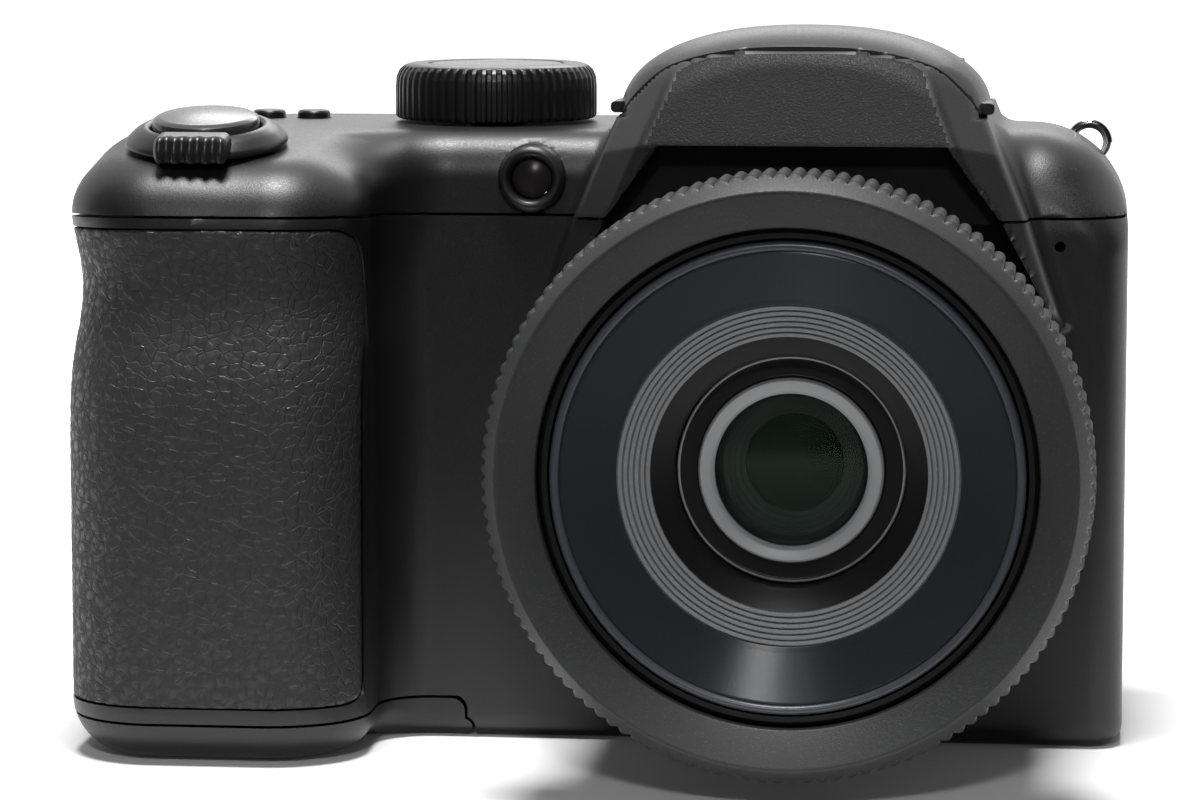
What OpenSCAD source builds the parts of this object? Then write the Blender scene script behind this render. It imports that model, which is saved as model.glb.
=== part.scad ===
// Compact bridge camera with a long zoom lens, built as separate pieces that fit together.
// X runs to the right as seen from the front, Y runs to the back, Z runs up.
// The origin is the mouth of the tripod socket in the base.

/* [Body] */
// Height of the top deck above the seam
top_h = 10.5; // [10:0.25:12]
// Room between the lens flange and the right wall
side_room = 2.9; // [2.6:0.1:4]
// Room between the lens flange and the floor
foot_room = 2.6; // [2.4:0.1:4]
// Room for the screen between its board and the back wall
screen_room = 6; // [5.8:0.1:7]
// Wall thickness of the case
wall = 2.2; // [2:0.1:2.3]
// Gap at the seams between the covers
gap = 0.25; // [0.2:0.05:0.3]
// Depth of the rear cover
back_d = 5; // [5:0.1:5.6]
// Radius of the right body corners seen from above
side_r = 4; // [3:0.5:5]

/* [Grip] */
// Room between the cells and the grip walls
cell_room = 0.4; // [0.3:0.1:0.8]
// Room between the cells and the card cage
cage_room = 2.49; // [2:0.01:4]
// How far the grip stands out in front of the body
grip_d = 21; // [20.5:0.25:22]
// Radius of the grip front corners seen from above
grip_r = 11; // [10:0.25:11.25]
// Radius of the hollow between grip and body
hollow_r = 6; // [5:0.5:6.5]
// Thickness of the rubber skin on the grip
rubber_t = 1.1; // [0.9:0.1:1.2]
// Height of the lower edge of the rubber skin
rubber_z0 = 6.5; // [6:0.25:8]
// Distance from the seam down to the upper edge of the rubber skin
rubber_drop = 1.4; // [1:0.2:3]
// Forward slope of the grip top in degrees
grip_tilt = 9; // [7:0.5:10]

/* [Hump] */
// Half width of the hump at the flash lid
hump_a = 21.75; // [21:0.25:22.5]
// Height of the flash hump above the top deck
hump_rise = 11.5; // [11:0.25:12]
// How far the brow of the hump stands out in front of the body
brow_d = 14; // [13.5:0.25:15]
// Thickness of the flash lid
lid_wall = 1.5; // [1.3:0.1:1.7]

/* [Lens] */
// Thickness of the knurled lens ring over the tube
ring_wall = 4.4; // [4.2:0.1:4.6]
// Length of the lens in front of the body
lens_len = 40; // [39:0.5:42]
// Length of the knurled lens ring
ring_len = 11.5; // [11:0.25:13]
// Number of teeth on the lens ring
ring_teeth = 128; // [100:4:136]
// Outer radius of the fixed lens tube
tube_r = 28.6; // [27.5:0.1:29.5]
// Travel of the middle barrel
mid_travel = 20; // [18:0.5:21]
// Radius of the clear front glass
glass_r = 8.2; // [7.8:0.1:8.8]
// Module of the zoom gears
gear_m = 0.5; // [0.49:0.005:0.505]
// Width of the zoom gears
gear_w = 2; // [1.8:0.1:2.2]

/* [Top controls] */
// Radius of the mode dial
dial_r = 11.9; // [11:0.1:12.5]
// Height of the mode dial above the deck
dial_h = 6.2; // [5.5:0.1:7]
// Number of ribs on the mode dial
dial_ribs = 60; // [48:2:64]
// Distance from the lens axis to the mode dial axis
dial_off = 38.2; // [37.5:0.1:39]
// Radius of the shutter button
shutter_r = 6.1; // [5.7:0.1:6.4]
// Radius of the zoom lever at its base
lever_r = 9.3; // [9:0.1:9.6]
// Radius of the small top buttons
top_key_r = 2; // [1.7:0.1:2.2]

/* [Back] */
// Width of the screen window
screen_w = 66; // [64:0.5:67]
// Height of the screen window
screen_h = 50; // [48:0.5:51]
// Radius of the direction pad
pad_r = 10; // [9:0.25:10.5]
// Radius of the small back buttons
key_r = 3; // [2.6:0.1:3.4]

/* [Power] */
// Diameter of one power cell
cell_d = 14.5; // [14.1:0.1:14.5]
// Length of one power cell
cell_len = 50.5; // [49.5:0.1:50.5]
// Height of the battery door
door_h = 4.6; // [4.4:0.1:4.8]
// Distance from the grip to the door hinge
hinge_off = 9.15; // [8.8:0.05:9.5]
// Radius of the door hinge barrel
knuckle_r = 1.1; // [1:0.05:1.2]

/* [Base] */
// Radius of the tripod thread
thread_r = 3.175; // [3.1:0.025:3.2]
// Depth of the tripod socket
thread_len = 5.2; // [4.8:0.1:5.3]

/* [Hidden] */
$fn = 64;
far = 200;
eps = 0.01;
run = 0.05;

// Lens radii that the body is built around
flange_r = tube_r + 2.6;
hole_r = tube_r + 0.6;
ring_r = tube_r + ring_wall;
lens_top = tube_r - 3.6;

// Zoom gear train
cam_wall = 1.4;
ring_n = 2 * round((tube_r + cam_wall) / gear_m);
idler_n = 30;
pinion_n = 15;
backlash = 0.06;
ring_pitch = ring_n * gear_m / 2;
idler_pitch = idler_n * gear_m / 2;
pinion_pitch = pinion_n * gear_m / 2;
idler_x = -(ring_pitch + idler_pitch + backlash);
idler_tip = idler_pitch + 0.9 * gear_m;

// Cells and card between lens and grip
cell_r = cell_d / 2;
pitch = cell_d + 0.3;
card_t = 3.4;
card_x = idler_x - idler_tip - 0.4 - card_t / 2;
bay_x = card_x - card_t / 2 - cage_room - cell_r - pitch / 2;
grip_w = cell_d + pitch + 2 * (wall + cell_room);
cell_z0 = door_h + 1.4;
tray_z = cell_z0 + cell_len + 0.4;
tray_t = 1.5;

// Boards behind the lens
plate_s = -1;
plate_t = 2.4;
sensor_t = 1.2;
chip_t = 1.4;
board_t = 1.2;
board_y = plate_t - plate_s + sensor_t + chip_t + 1.6;

// Body planes
x_right = flange_r + wall + side_room;
x_left = bay_x - grip_w / 2;
y_back = board_y + board_t + screen_room + wall;
y_front = -y_back;
y_split = y_back - back_d;
grip_x = x_left + grip_w;
grip_y = y_front - grip_d;
case_h = max(flange_r + wall + foot_room + lens_top, tray_z + tray_t + 2.6);
axis_z = case_h - lens_top;
z_seam = case_h + gap;
z_top = case_h + top_h;
back_r = 8;
foot_r = 3.5;
foot_grip_r = 7;
front_foot_r = 6;
rear_foot_r = 2.5;

// Top deck curves
shoulder_r = 8.5;
shoulder_l = 9;
deck_r = 5;
rear_deck_r = 4;
slope_y = y_front + 3;
grip_nose = 8;
nose_z = z_top - (slope_y - grip_y - grip_nose) * tan(grip_tilt);

// Hump planes
hump_z = z_top + 1;
hump_b = hump_rise - 1;
hump_lean = 0.417;
hump_y0 = y_front - brow_d;
brow_z = axis_z + ring_r + 1.1;
lid_y0 = y_front - brow_d / 2;
lid_z0 = hump_z + 0.8;
crest_y = -16;
crest_back = y_back - crest_y;
crest_front = (crest_y - lid_y0) * 1.51;
arch_w = 18.5;
pillar_w = 3.9;
tab_t = 1;
tab_h = 1.3;
tab_in = 1;
tab_len = 6;
pivot_r = 2;
pivot_y = y_back - 6;
pivot_z = hump_z + hump_b * sqrt(1 - pow((pivot_y - crest_y) / crest_back, 2)) - pivot_r - 0.2;
pivot_half = 12;
pivot_clear = 4;
pin_r = 0.75;
flash_half = 12;
flash_low = lid_z0 - 2;
flash_high = lid_z0 + 3.4;

// Lens stations measured forward from the tripod axis
ring_s1 = lens_len - y_front;
ring_s0 = ring_s1 - ring_len;
lip_s = ring_s1 - 3.6;
tube_in = tube_r - 1.4;
mid_r = tube_in - 0.3;
mid_in = mid_r - 1;
front_r = mid_in - 0.3;
front_in = front_r - 1;
mid_s1 = lip_s - 0.2;
mid_s0 = mid_s1 - mid_travel - 16.9;
iris_t = 3.6;
iris_r = 7;
front_s1 = lip_s + 0.7;
front_s0 = mid_s0 + iris_t + 1.1;
flange_s1 = -(y_front + wall);
flange_s0 = flange_s1 - 2;
ped_r = hole_r + 4.2;
ped_a = 21;
ped_d = 12;
dish_s = front_s1 - 2.4;
cell_s = front_s1 - 7.4;
seat_r = glass_r + 1.9;
bezel_r = seat_r + 2.5;
step_r0 = bezel_r + 2.2;
step_r1 = step_r0 + 3.8;
steps = 6;

// Zoom drive stations
idler_z = axis_z;
drive_a = 102;
sector_a = round(ring_n * 0.19);
sector_b = round(ring_n * 0.55);
pinion_x = idler_x + (idler_pitch + pinion_pitch + backlash) * cos(drive_a);
pinion_z = idler_z + (idler_pitch + pinion_pitch + backlash) * sin(drive_a);
cam_s1 = flange_s0 - 0.5;
cam_s0 = cam_s1 - 6.6;
gear_s0 = cam_s1 - gear_w - 0.6;
bracket_s1 = gear_s0 - 0.4;
bracket_t = 1.2;
motor_r = 5;
motor_len = 12;
stud_r = 1;
shaft_r = 0.8;
post_off = 5.7;
rod_x = 17;
rod_r = 1;
focus_r = 8;
carrier_r = 12;

// Top controls
dial_x = -dial_off;
dial_y = 1;
axle_r = 3;
shutter_x = x_left + grip_w / 2 - 1.8;
shutter_y = slope_y - 10;
shutter_z = z_top - (slope_y - shutter_y) * tan(grip_tilt);
hub_r = shutter_r + 1.1;
key_y = 4.5;
power_x = shutter_x + 2.2;
drive_x = power_x + 2 * top_key_r + 1.4;
lip_t = 0.8;
lift = 0.35;

// Back
screen_x = x_right - 4.5 - screen_w / 2;
screen_z = case_h / 2;
glass_t = 1.2;
frame_s = y_back - wall;
pad_x = (x_left + screen_x - screen_w / 2) / 2 + 2.5;
pad_z = 26;
set_r = 4;
key_out = 0.7;
key_gap = 0.6;
record_at = [pad_x - 4, case_h - 8];
menu_at = [pad_x + 9, pad_z + pad_r + 6];
play_at = [pad_x + 9, pad_z - pad_r - 5];
cradle_r = pad_r - 3;
keys_y = y_back - wall - 2.8;
keys_t = 1.2;
keys_x0 = pad_x - 11;
keys_x1 = pad_x + 8;
keys_z0 = 9;
keys_z1 = case_h - 5;
post_r = 1.6;

// Power
bay_y = grip_y + wall + cell_r + 0.95;
divider = pitch / 2 - 3.2;
hinge_x = grip_x + hinge_off;
hinge_z = knuckle_r;
hinge_pin = 0.5;
door_y1 = y_split - gap;
door_t = 1.8;
lug_y = [-8, 4];
lug_w = 3;
card_len = 25;
card_y0 = keys_y - keys_t - 0.3 - card_len;
card_wall = 0.5;
slot_half = 1.1;
card_z1 = door_h + 35;
board_x0 = max(screen_x - screen_w / 2 - 8, card_x + card_t / 2 + 1);

// Side flap
port_y0 = -3;
port_y1 = 8;
port_z0 = 17;
port_z1 = 32;
port_t = 1.2;
port_barrel = 0.95;
port_pin = 0.45;
port_axis_x = x_right - port_barrel - 0.1;

// Small pieces
lamp_x = -31.8;
lamp_r = 4;
lamp_lens_r = 2.2;
lamp_z = z_seam + lamp_r + 0.1;
lug_loop = 2.2;
lug_wire = 0.6;
strap_y = 8;
bush_r = 5;
mic_x = x_right - 7.7;
mic_z = case_h - 3;
speaker_y = -2;
speaker_z = axis_z + 10;
speaker_r = 6;
screw_r = 0.8;
screw_head = 1.5;
screw_at = [[x_right - 6, y_front + 6], [x_right - 6, y_split - 4], [hinge_x + 6.75, y_split - 4]];
boss_r = 2.4;
boss_top = screen_z - screen_h / 2;
capacitor_r = 4.4;

// Outline helpers
function arc(c, r, a0, a1, n = 10) =
    [for (i = [0:n]) let (a = a0 + (a1 - a0) * i / n) [c[0] + r * cos(a), c[1] + r * sin(a)]];

function oval(c, rx, ry, a0, a1, n = 12) =
    [for (i = [0:n]) let (a = a0 + (a1 - a0) * i / n) [c[0] + rx * cos(a), c[1] + ry * sin(a)]];

// Body outline from above, drawn in by i
function plan(i) = concat(
    arc([x_right - side_r, y_front + side_r], side_r - i, -90, 0, 6),
    arc([x_right - side_r, y_back - side_r], side_r - i, 0, 90, 6),
    arc([x_left + back_r, y_back - back_r], back_r - i, 90, 180),
    arc([x_left + grip_r, grip_y + grip_r], grip_r - i, 180, 270),
    arc([grip_x - grip_r, grip_y + grip_r], grip_r - i, 270, 360),
    arc([grip_x + hollow_r, y_front - hollow_r], hollow_r + i, 180, 90)
);

// Lower case outline from the front
function case_front(i, top) = concat(
    arc([x_right - foot_r, foot_r], foot_r - i, -90, 0, 6),
    [[x_right - i, top], [x_left + i, top]],
    arc([x_left + foot_grip_r, foot_grip_r], foot_grip_r - i, 180, 270)
);

// Lower case outline from the side
function case_side(i, top) = concat(
    arc([grip_y + front_foot_r, front_foot_r], front_foot_r - i, 180, 270),
    arc([y_back - rear_foot_r, rear_foot_r], rear_foot_r - i, 270, 360, 6),
    [[y_back - i, top], [grip_y + i, top]]
);

// Top deck outline from the front
function deck_front(i, z0) = concat(
    [[x_right - i, z0]],
    oval([x_right - shoulder_r, case_h], shoulder_r - i, top_h - i, 0, 90),
    oval([x_left + shoulder_l, case_h], shoulder_l - i, top_h - i, 90, 180),
    [[x_left + i, z0]]
);

// Top deck outline from the side
function deck_side(i, z0) = concat(
    [[y_back - i, z0]],
    arc([y_back - rear_deck_r, z_top - rear_deck_r], rear_deck_r - i, 0, 90),
    arc([y_front + deck_r, z_top - deck_r], deck_r - i, 90, 180),
    [[y_front + i, z0]]
);

// Grip top outline from the side
function grip_side(i, z0) = concat(
    [[0, z0], [0, z_top - i], [slope_y, z_top - i]],
    oval([grip_y + grip_nose, case_h], grip_nose - i, nose_z - case_h - i, 90, 180),
    [[grip_y + i, z0]]
);

// Half width of the hump flanks at a height
function flank(z) = hump_a + (hump_z - z) * hump_lean;

// Hump outline from the front
function hump_front(i, z0) = concat(
    [[flank(z0) - i * 1.07, z0]],
    oval([0, hump_z], hump_a - i, hump_b - i, 0, 180, 28),
    [[-flank(z0) + i * 1.07, z0]]
);

// Hump outline from the side
function hump_side(i, z0) = concat(
    [[y_back - i, z0]],
    oval([crest_y, hump_z], crest_back - i, hump_b - i, 0, 90),
    oval([crest_y, hump_z], crest_front - i, hump_b - i, 97, 131.4, 8),
    [[hump_y0 + i, brow_z], [hump_y0 + i, z0]]
);

// Opening under the brow of the hump
function arch(i, z0) = [
    [flank(z0) - pillar_w - i, z0], [arch_w - i, brow_z - 3], [arch_w - 2.2 - i, brow_z - i],
    [-arch_w + 2.2 + i, brow_z - i], [-arch_w + i, brow_z - 3], [-flank(z0) + pillar_w + i, z0]
];

// Toothed outline around a circle
function knurl(r, depth, n) =
    [for (i = [0:n - 1], k = [0:3])
        let (a = 360 / n * (i + [0, 0.2, 0.5, 0.7][k]), q = r - (k < 2 ? 0 : depth))
        [q * cos(a), q * sin(a)]];

// Involute gear outline
function roll(base, r) = r <= base ? 0 : sqrt(r * r / base / base - 1) * 180 / PI - acos(base / r);

// One tooth after another from tooth a to tooth b
function teeth(n, m, a, b, turn = 0) =
    let (
        p = n * m / 2,
        base = p * cos(20),
        root = p - 1.2 * m,
        tip = p + 0.9 * m,
        half = 90 / n - 0.6 / p + roll(base, p),
        low = max(base, root),
        rs = [for (k = [0:3]) low + (tip - low) * k / 3]
    )
    [for (i = [a:b]) let (c = 360 / n * i + turn)
        for (q = concat(
            root < base ? [[root, c - half]] : [],
            [for (r = rs) [r, c - half + roll(base, r)]],
            [for (k = [3:-1:0]) [rs[k], c + half - roll(base, rs[k])]],
            root < base ? [[root, c + half]] : []))
        [q[0] * cos(q[1]), q[0] * sin(q[1])]];

// Extrude a front outline along Y
module along_y(y0, y1) {
    translate([0, y1, 0])
        rotate([90, 0, 0])
            linear_extrude(y1 - y0)
                children();
}

// Extrude a side outline along X
module along_x(x0, x1) {
    translate([x0, 0, 0])
        rotate([90, 0, 90])
            linear_extrude(x1 - x0)
                children();
}

// Turn a radius outline about the lens axis
module turned() {
    translate([0, 0, axis_z])
        rotate([90, 0, 0])
            rotate_extrude($fn = 96)
                children();
}

// Round bar along the lens direction between two forward stations
module bar_s(x, z, r, s0, s1) {
    translate([x, -s0, z])
        rotate([90, 0, 0])
            cylinder(r = r, h = s1 - s0);
}

// Round bar along X
module bar_x(y, z, r, x0, x1) {
    translate([x0, y, z])
        rotate([0, 90, 0])
            cylinder(r = r, h = x1 - x0);
}

// Box between two corners
module box(a, b) {
    translate(a)
        cube(b - a);
}

// Place on the sloping grip top at the shutter axis
module on_grip() {
    translate([shutter_x, shutter_y, shutter_z])
        rotate([grip_tilt, 0, 0])
            children();
}

// Lower body form
module case_form(i, top) {
    intersection() {
        linear_extrude(top)
            polygon(plan(i));
        along_y(grip_y, y_back)
            polygon(case_front(i, top));
        along_x(x_left, x_right)
            polygon(case_side(i, top));
    }
}

// Top deck form with the grip top
module deck_form(i, z0) {
    intersection() {
        translate([0, 0, z0])
            linear_extrude(z_top)
                polygon(plan(i));
        along_y(grip_y, y_back)
            polygon(deck_front(i, z0));
        union() {
            along_x(x_left, x_right)
                polygon(deck_side(i, z0));
            along_x(x_left, grip_x + hollow_r)
                polygon(grip_side(i, z0));
        }
    }
}

// Hump form
module hump_form(i, z0) {
    intersection() {
        along_y(hump_y0, y_back)
            polygon(hump_front(i, z0));
        along_x(-far / 2, far / 2)
            polygon(hump_side(i, z0));
    }
}

// Space of the flash lid, grown by g
module lid_space(g) {
    difference() {
        box([-far / 2, lid_y0 - g, lid_z0 - g], [far / 2, pivot_y, far / 2]);
        for (s = [0, 1])
            mirror([s, 0, 0])
                bar_x(pivot_y, pivot_z, pivot_clear - g, pivot_half + g, far / 2);
    }
    bar_x(pivot_y, pivot_z, pivot_r + g, -pivot_half - g, pivot_half + g);
}

// Lens clearance through the covers
module lens_clear() {
    bar_s(0, axis_z, hole_r, flange_s1 - 4, far);
}

// Rubber skin of the grip
module skin_form() {
    intersection() {
        translate([0, 0, rubber_z0])
            linear_extrude(case_h - rubber_drop - rubber_z0)
                difference() {
                    polygon(plan(0));
                    polygon(plan(rubber_t));
                }
        box([-far, -far, 0], [grip_x + eps, y_split - 9, far]);
    }
}

// Space of the battery door, grown by g
module door_space(g) {
    along_y(-far, door_y1 + g) {
        translate([-far, -1])
            square([far + hinge_x + g, door_h + g + 1]);
        translate([hinge_x, hinge_z])
            circle(knuckle_r + g);
        translate([hinge_x, -1])
            square([knuckle_r + g, hinge_z + 1]);
    }
}

// Arms of the case that carry the door pin
module door_lugs() {
    for (y = lug_y)
        translate([0, y + lug_w, 0])
            rotate([90, 0, 0])
                linear_extrude(lug_w) {
                    translate([hinge_x, hinge_z])
                        circle(knuckle_r - 0.1);
                    translate([hinge_x, 0.2])
                        square([knuckle_r + 2, 1.6]);
                }
}

// Space of the side flap, grown by g
module port_space(g) {
    box([x_right - port_t - g, port_y0 - g, port_z0 - g], [far, port_y1 + port_barrel + g, port_z1 + g]);
    translate([port_axis_x, port_y1, port_z0 - g])
        cylinder(r = port_barrel + g, h = port_z1 - port_z0 + 2 * g);
}

// Pin of the side flap
module port_rod() {
    translate([port_axis_x, port_y1, port_z0 - gap - 2])
        cylinder(r = port_pin, h = port_z1 - port_z0 + 2 * gap + 4);
}

// Places of the holes in front of the speaker
module speaker_holes() {
    for (i = [-1:1], k = [-1:1])
        bar_x(speaker_y + i * 1.8, speaker_z + k * 1.8, 0.5, x_right - wall - 1, x_right + 1);
}

// Strap loops
module strap_form() {
    for (c = [[x_right - 4.6, z_top - 3.2], [x_left + 3.4, z_top - 5.2]])
        translate([c[0], strap_y, c[1]])
            rotate([90, 0, 0])
                rotate_extrude($fn = 48)
                    translate([lug_loop, 0])
                        circle(lug_wire, $fn = 24);
}

// Button cap that slides along Y through the back
module back_key(x, z, r) {
    bar_s(x, z, r, -y_back - key_out, -keys_y - key_gap);
    bar_s(x, z, r + 0.6, -y_back + wall + 0.1, -y_back + wall + 0.1 + lip_t);
}

// Front half of the lower body
module front_shell() {
    color("#1d1d1f")
    difference() {
        union() {
            difference() {
                intersection() {
                    case_form(0, case_h);
                    box([-far, -far, -1], [far, y_split - gap / 2, far]);
                }
                case_form(wall, case_h + 1);
                skin_form();
            }
            intersection() {
                along_y(y_front - ped_d, y_front + eps) {
                    translate([0, axis_z])
                        circle(ped_r, $fn = 96);
                    polygon([
                        [flank(case_h), case_h],
                        [-flank(case_h), case_h],
                        [-ped_r * cos(ped_a), axis_z + ped_r * sin(ped_a)],
                        [ped_r * cos(ped_a), axis_z + ped_r * sin(ped_a)]
                    ]);
                }
                box([-far, -far, 0], [far, far, case_h]);
            }
            for (p = screw_at)
                translate([p[0], p[1], wall - eps])
                    cylinder(r = boss_r, h = boss_top - wall);
        }
        lens_clear();
        bar_s(0, axis_z, ring_r + 1, 0.6 - lid_y0, far);
        door_space(gap);
        port_space(gap);
        speaker_holes();
        translate([0, 0, -1])
            cylinder(r = bush_r, h = wall + 2);
        bar_s(mic_x, mic_z, 0.6, -y_front - wall - 1, -y_front + 1);
        box([x_right - 7, port_y0 + 1.5, port_z0 + 5], [x_right, port_y0 + 9, port_z0 + 8]);
        for (p = screw_at)
            translate([p[0], p[1], -1]) {
                cylinder(r = screw_head, h = 2.2);
                cylinder(r = screw_r, h = boss_top - 0.5);
            }
        port_rod();
    }
    color("#1d1d1f")
    difference() {
        door_lugs();
        bar_s(hinge_x, hinge_z, hinge_pin, -far / 4, far / 4);
    }
}

// Back cover with the screen and keys
module rear_cover() {
    color("#1b1b1d")
    for (z = [keys_z0 + 3, keys_z1 - 10])
        bar_s(keys_x0 + 3, z, post_r, -frame_s - eps, -keys_y);
    color("#1b1b1d")
    difference() {
        intersection() {
            case_form(0, case_h);
            box([-far, y_split + gap / 2, -1], [far, far, far]);
        }
        case_form(wall, case_h + 1);
        box([screen_x - screen_w / 2, y_back - glass_t, screen_z - screen_h / 2],
            [screen_x + screen_w / 2, y_back + 1, screen_z + screen_h / 2]);
        box([screen_x - screen_w / 2 + 2, y_back - 4, screen_z - screen_h / 2 + 2],
            [screen_x + screen_w / 2 - 2, y_back + 1, screen_z + screen_h / 2 - 2]);
        pad_form();
        bar_s(pad_x, pad_z, pad_r + 0.4, -y_back - 1, -y_back + wall + 1);
        for (k = [record_at, menu_at, play_at])
            bar_s(k[0], k[1], key_r + 0.08, -y_back - 1, -y_back + wall + 1);
    }
}

// Thumb rest form
module pad_form() {
    box([x_left + back_r + 1, y_back - 1, pad_z + pad_r + 4], [pad_x - 9, y_back + 0.6, case_h - 4]);
}

// Top cover with deck, grip top and hump
module top_cover() {
    color("#1d1d1f")
    difference() {
        union() {
            deck_form(0, z_seam);
            hump_form(0, z_seam);
        }
        difference() {
            union() {
                deck_form(wall, z_seam - 1);
                hump_form(wall, z_seam - 1);
            }
            box([-pivot_half - 6, pivot_y - pivot_clear, z_top - 1], [pivot_half + 6, far, far]);
        }
        lens_clear();
        along_y(hump_y0 - 1, lid_y0 + 0.5)
            polygon(arch(0, z_seam - 1));
        lid_space(0.35);
        box([-hump_a + lid_wall, lid_y0 + 0.3, z_seam - 1],
            [hump_a - lid_wall, pivot_y - pivot_clear, lid_z0 + 1]);
        translate([dial_x, dial_y, z_top - 6])
            cylinder(r = axle_r + run, h = 8);
        for (x = [power_x, drive_x])
            translate([x, key_y, z_top - 6])
                cylinder(r = top_key_r + 0.08, h = 8);
        on_grip()
            translate([0, 0, -5])
                cylinder(r = hub_r + run, h = 9);
        bar_s(lamp_x, lamp_z, lamp_r, -y_front - wall - 4, -y_front + 4);
        strap_form();
        bar_x(pivot_y, pivot_z, pin_r, -pivot_half - 3.5, pivot_half + 3.5);
    }
}

// Black plate that closes the arch behind the lens ring
module lens_shroud() {
    color("#0a0a0a")
    difference() {
        along_y(lid_y0 - 2, lid_y0 - 0.6)
            polygon(arch(0, z_seam));
        bar_s(0, axis_z, tube_r + 0.15, 0, far);
    }
}

// Rubber skin on the grip
module grip_rubber() {
    color("#232323")
    skin_form();
}

// Rubber thumb rest on the back
module thumb_pad() {
    color("#232323")
    pad_form();
}

// Fixed lens tube with flange and rear plate
module lens_tube() {
    color("#141416")
    difference() {
        union() {
            turned()
                polygon([
                    [tube_in, plate_s], [tube_r, plate_s], [tube_r, flange_s0],
                    [flange_r, flange_s0], [flange_r, flange_s1], [tube_r, flange_s1],
                    [tube_r, lip_s], [tube_in, lip_s]
                ]);
            bar_s(0, axis_z, tube_r, plate_s - plate_t, plate_s);
        }
        box([-6, 0, axis_z - 5], [6, 20, axis_z + 5]);
        for (x = [-rod_x, rod_x])
            bar_s(x, axis_z, rod_r, plate_s - 1.5, plate_s + 1);
    }
}

// Knurled ring on the front of the lens tube
module lens_ring() {
    color("#1a1a1a") {
        turned()
            polygon([
                [tube_r, ring_s0], [ring_r - 0.8, ring_s0], [ring_r - 0.8, ring_s1 - 1.4],
                [ring_r - 1.7, ring_s1], [tube_in - 0.2, lip_s + 1], [tube_in - 0.2, lip_s],
                [tube_r, lip_s]
            ]);
        translate([0, -ring_s0, axis_z])
            rotate([90, 0, 0])
                linear_extrude(ring_len - 1.9)
                    difference() {
                        polygon(knurl(ring_r, 0.75, ring_teeth));
                        circle(ring_r - 0.8, $fn = 96);
                    }
    }
}

// Raised bezel of the focus lamp
module af_lamp_bezel() {
    color("#1d1d1f")
    difference() {
        bar_s(lamp_x, lamp_z, lamp_r, -y_front - wall, -y_front + 1.6);
        bar_s(lamp_x, lamp_z, lamp_lens_r, -y_front - wall - 1, -y_front + 2);
    }
}

// Lens of the focus lamp
module af_lamp_lens() {
    color("#3a1512")
    bar_s(lamp_x, lamp_z, lamp_lens_r, -y_front - wall, -y_front + 0.6);
}

// Clear window over the screen
module lcd_window() {
    color("#101216")
    box([screen_x - screen_w / 2, y_back - glass_t, screen_z - screen_h / 2],
        [screen_x + screen_w / 2, y_back, screen_z + screen_h / 2]);
}

// Screen panel
module lcd_panel() {
    color("#202630")
    box([screen_x - screen_w / 2 + 2, y_back - 4, screen_z - screen_h / 2 + 2],
        [screen_x + screen_w / 2 - 2, y_back - glass_t, screen_z + screen_h / 2 - 2]);
}

// Metal frame that holds the screen against the back
module lcd_frame() {
    color("#b9bcc0")
    difference() {
        box([screen_x - screen_w / 2 + 0.5, board_y + board_t, screen_z - screen_h / 2 + 0.5],
            [screen_x + screen_w / 2 - 0.5, frame_s, screen_z + screen_h / 2 - 0.5]);
        box([screen_x - screen_w / 2 + 2, y_back - 4, screen_z - screen_h / 2 + 2],
            [screen_x + screen_w / 2 - 2, y_back, screen_z + screen_h / 2 - 2]);
        box([screen_x - screen_w / 2 + 1.5, board_y, screen_z - screen_h / 2 + 1.5],
            [screen_x + screen_w / 2 - 1.5, y_back - 4.8, screen_z + screen_h / 2 - 1.5]);
    }
}

// Main circuit board
module main_board() {
    color("#1f5a34") {
        box([board_x0, board_y, screen_z - screen_h / 2 + 1],
            [x_right - wall - 6.6, board_y + board_t, screen_z + screen_h / 2 - 1]);
        box([screen_x - 6, board_y - chip_t, screen_z + 4], [screen_x + 6, board_y, screen_z + 16]);
        box([screen_x - 20, board_y - 1, screen_z - 18], [screen_x - 10, board_y, screen_z - 10]);
    }
}

// Image sensor on its board
module sensor_board() {
    color("#245f3c")
    box([-12, plate_t - plate_s, axis_z - 10], [12, plate_t - plate_s + sensor_t, axis_z + 10]);
    color("#31343c")
    box([-4.8, plate_t - plate_s - chip_t, axis_z - 4], [4.8, plate_t - plate_s, axis_z + 4]);
}

// Divider post and top plate of the battery bay
module battery_tray() {
    color("#151515") {
        difference() {
            box([bay_x - divider, bay_y + pitch / 2 - divider, cell_z0 - 0.4],
                [bay_x + divider, bay_y + pitch / 2 + divider, tray_z + eps]);
            cells_form(0.1);
        }
        intersection() {
            translate([0, 0, tray_z])
                linear_extrude(tray_t)
                    polygon(plan(wall));
            box([-far, -far, 0], [bay_x + pitch, bay_y + 1.5 * pitch, far]);
        }
    }
}

// Four cells grown by g
module cells_form(g) {
    for (i = [-0.5, 0.5], k = [0, 1])
        translate([bay_x + i * pitch, bay_y + k * pitch, cell_z0])
            cylinder(r = cell_r + g, h = cell_len);
}

// Contact plates above the cells
module battery_contacts() {
    color("#c9b06a")
    for (i = [-0.5, 0.5])
        box([bay_x + i * pitch - 3, bay_y - 3, tray_z - 0.4],
            [bay_x + i * pitch + 3, bay_y + pitch + 3, tray_z]);
}

// Four standard round cells
module battery_cells() {
    color("#4a6b8a")
    cells_form(0);
}

// Cage for the memory card
module card_slot() {
    color("#a8abb0")
    difference() {
        box([card_x - card_t / 2, card_y0, door_h + 1], [card_x + card_t / 2, card_y0 + card_len, card_z1]);
        box([card_x - slot_half, card_y0 + card_wall, 0],
            [card_x + slot_half, card_y0 + card_len - card_wall, card_z1 - 1]);
    }
    color("#a8abb0")
    box([card_x - card_t / 2, y_front + wall, card_z1 - 8], [card_x + card_t / 2, card_y0, card_z1]);
}

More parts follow.
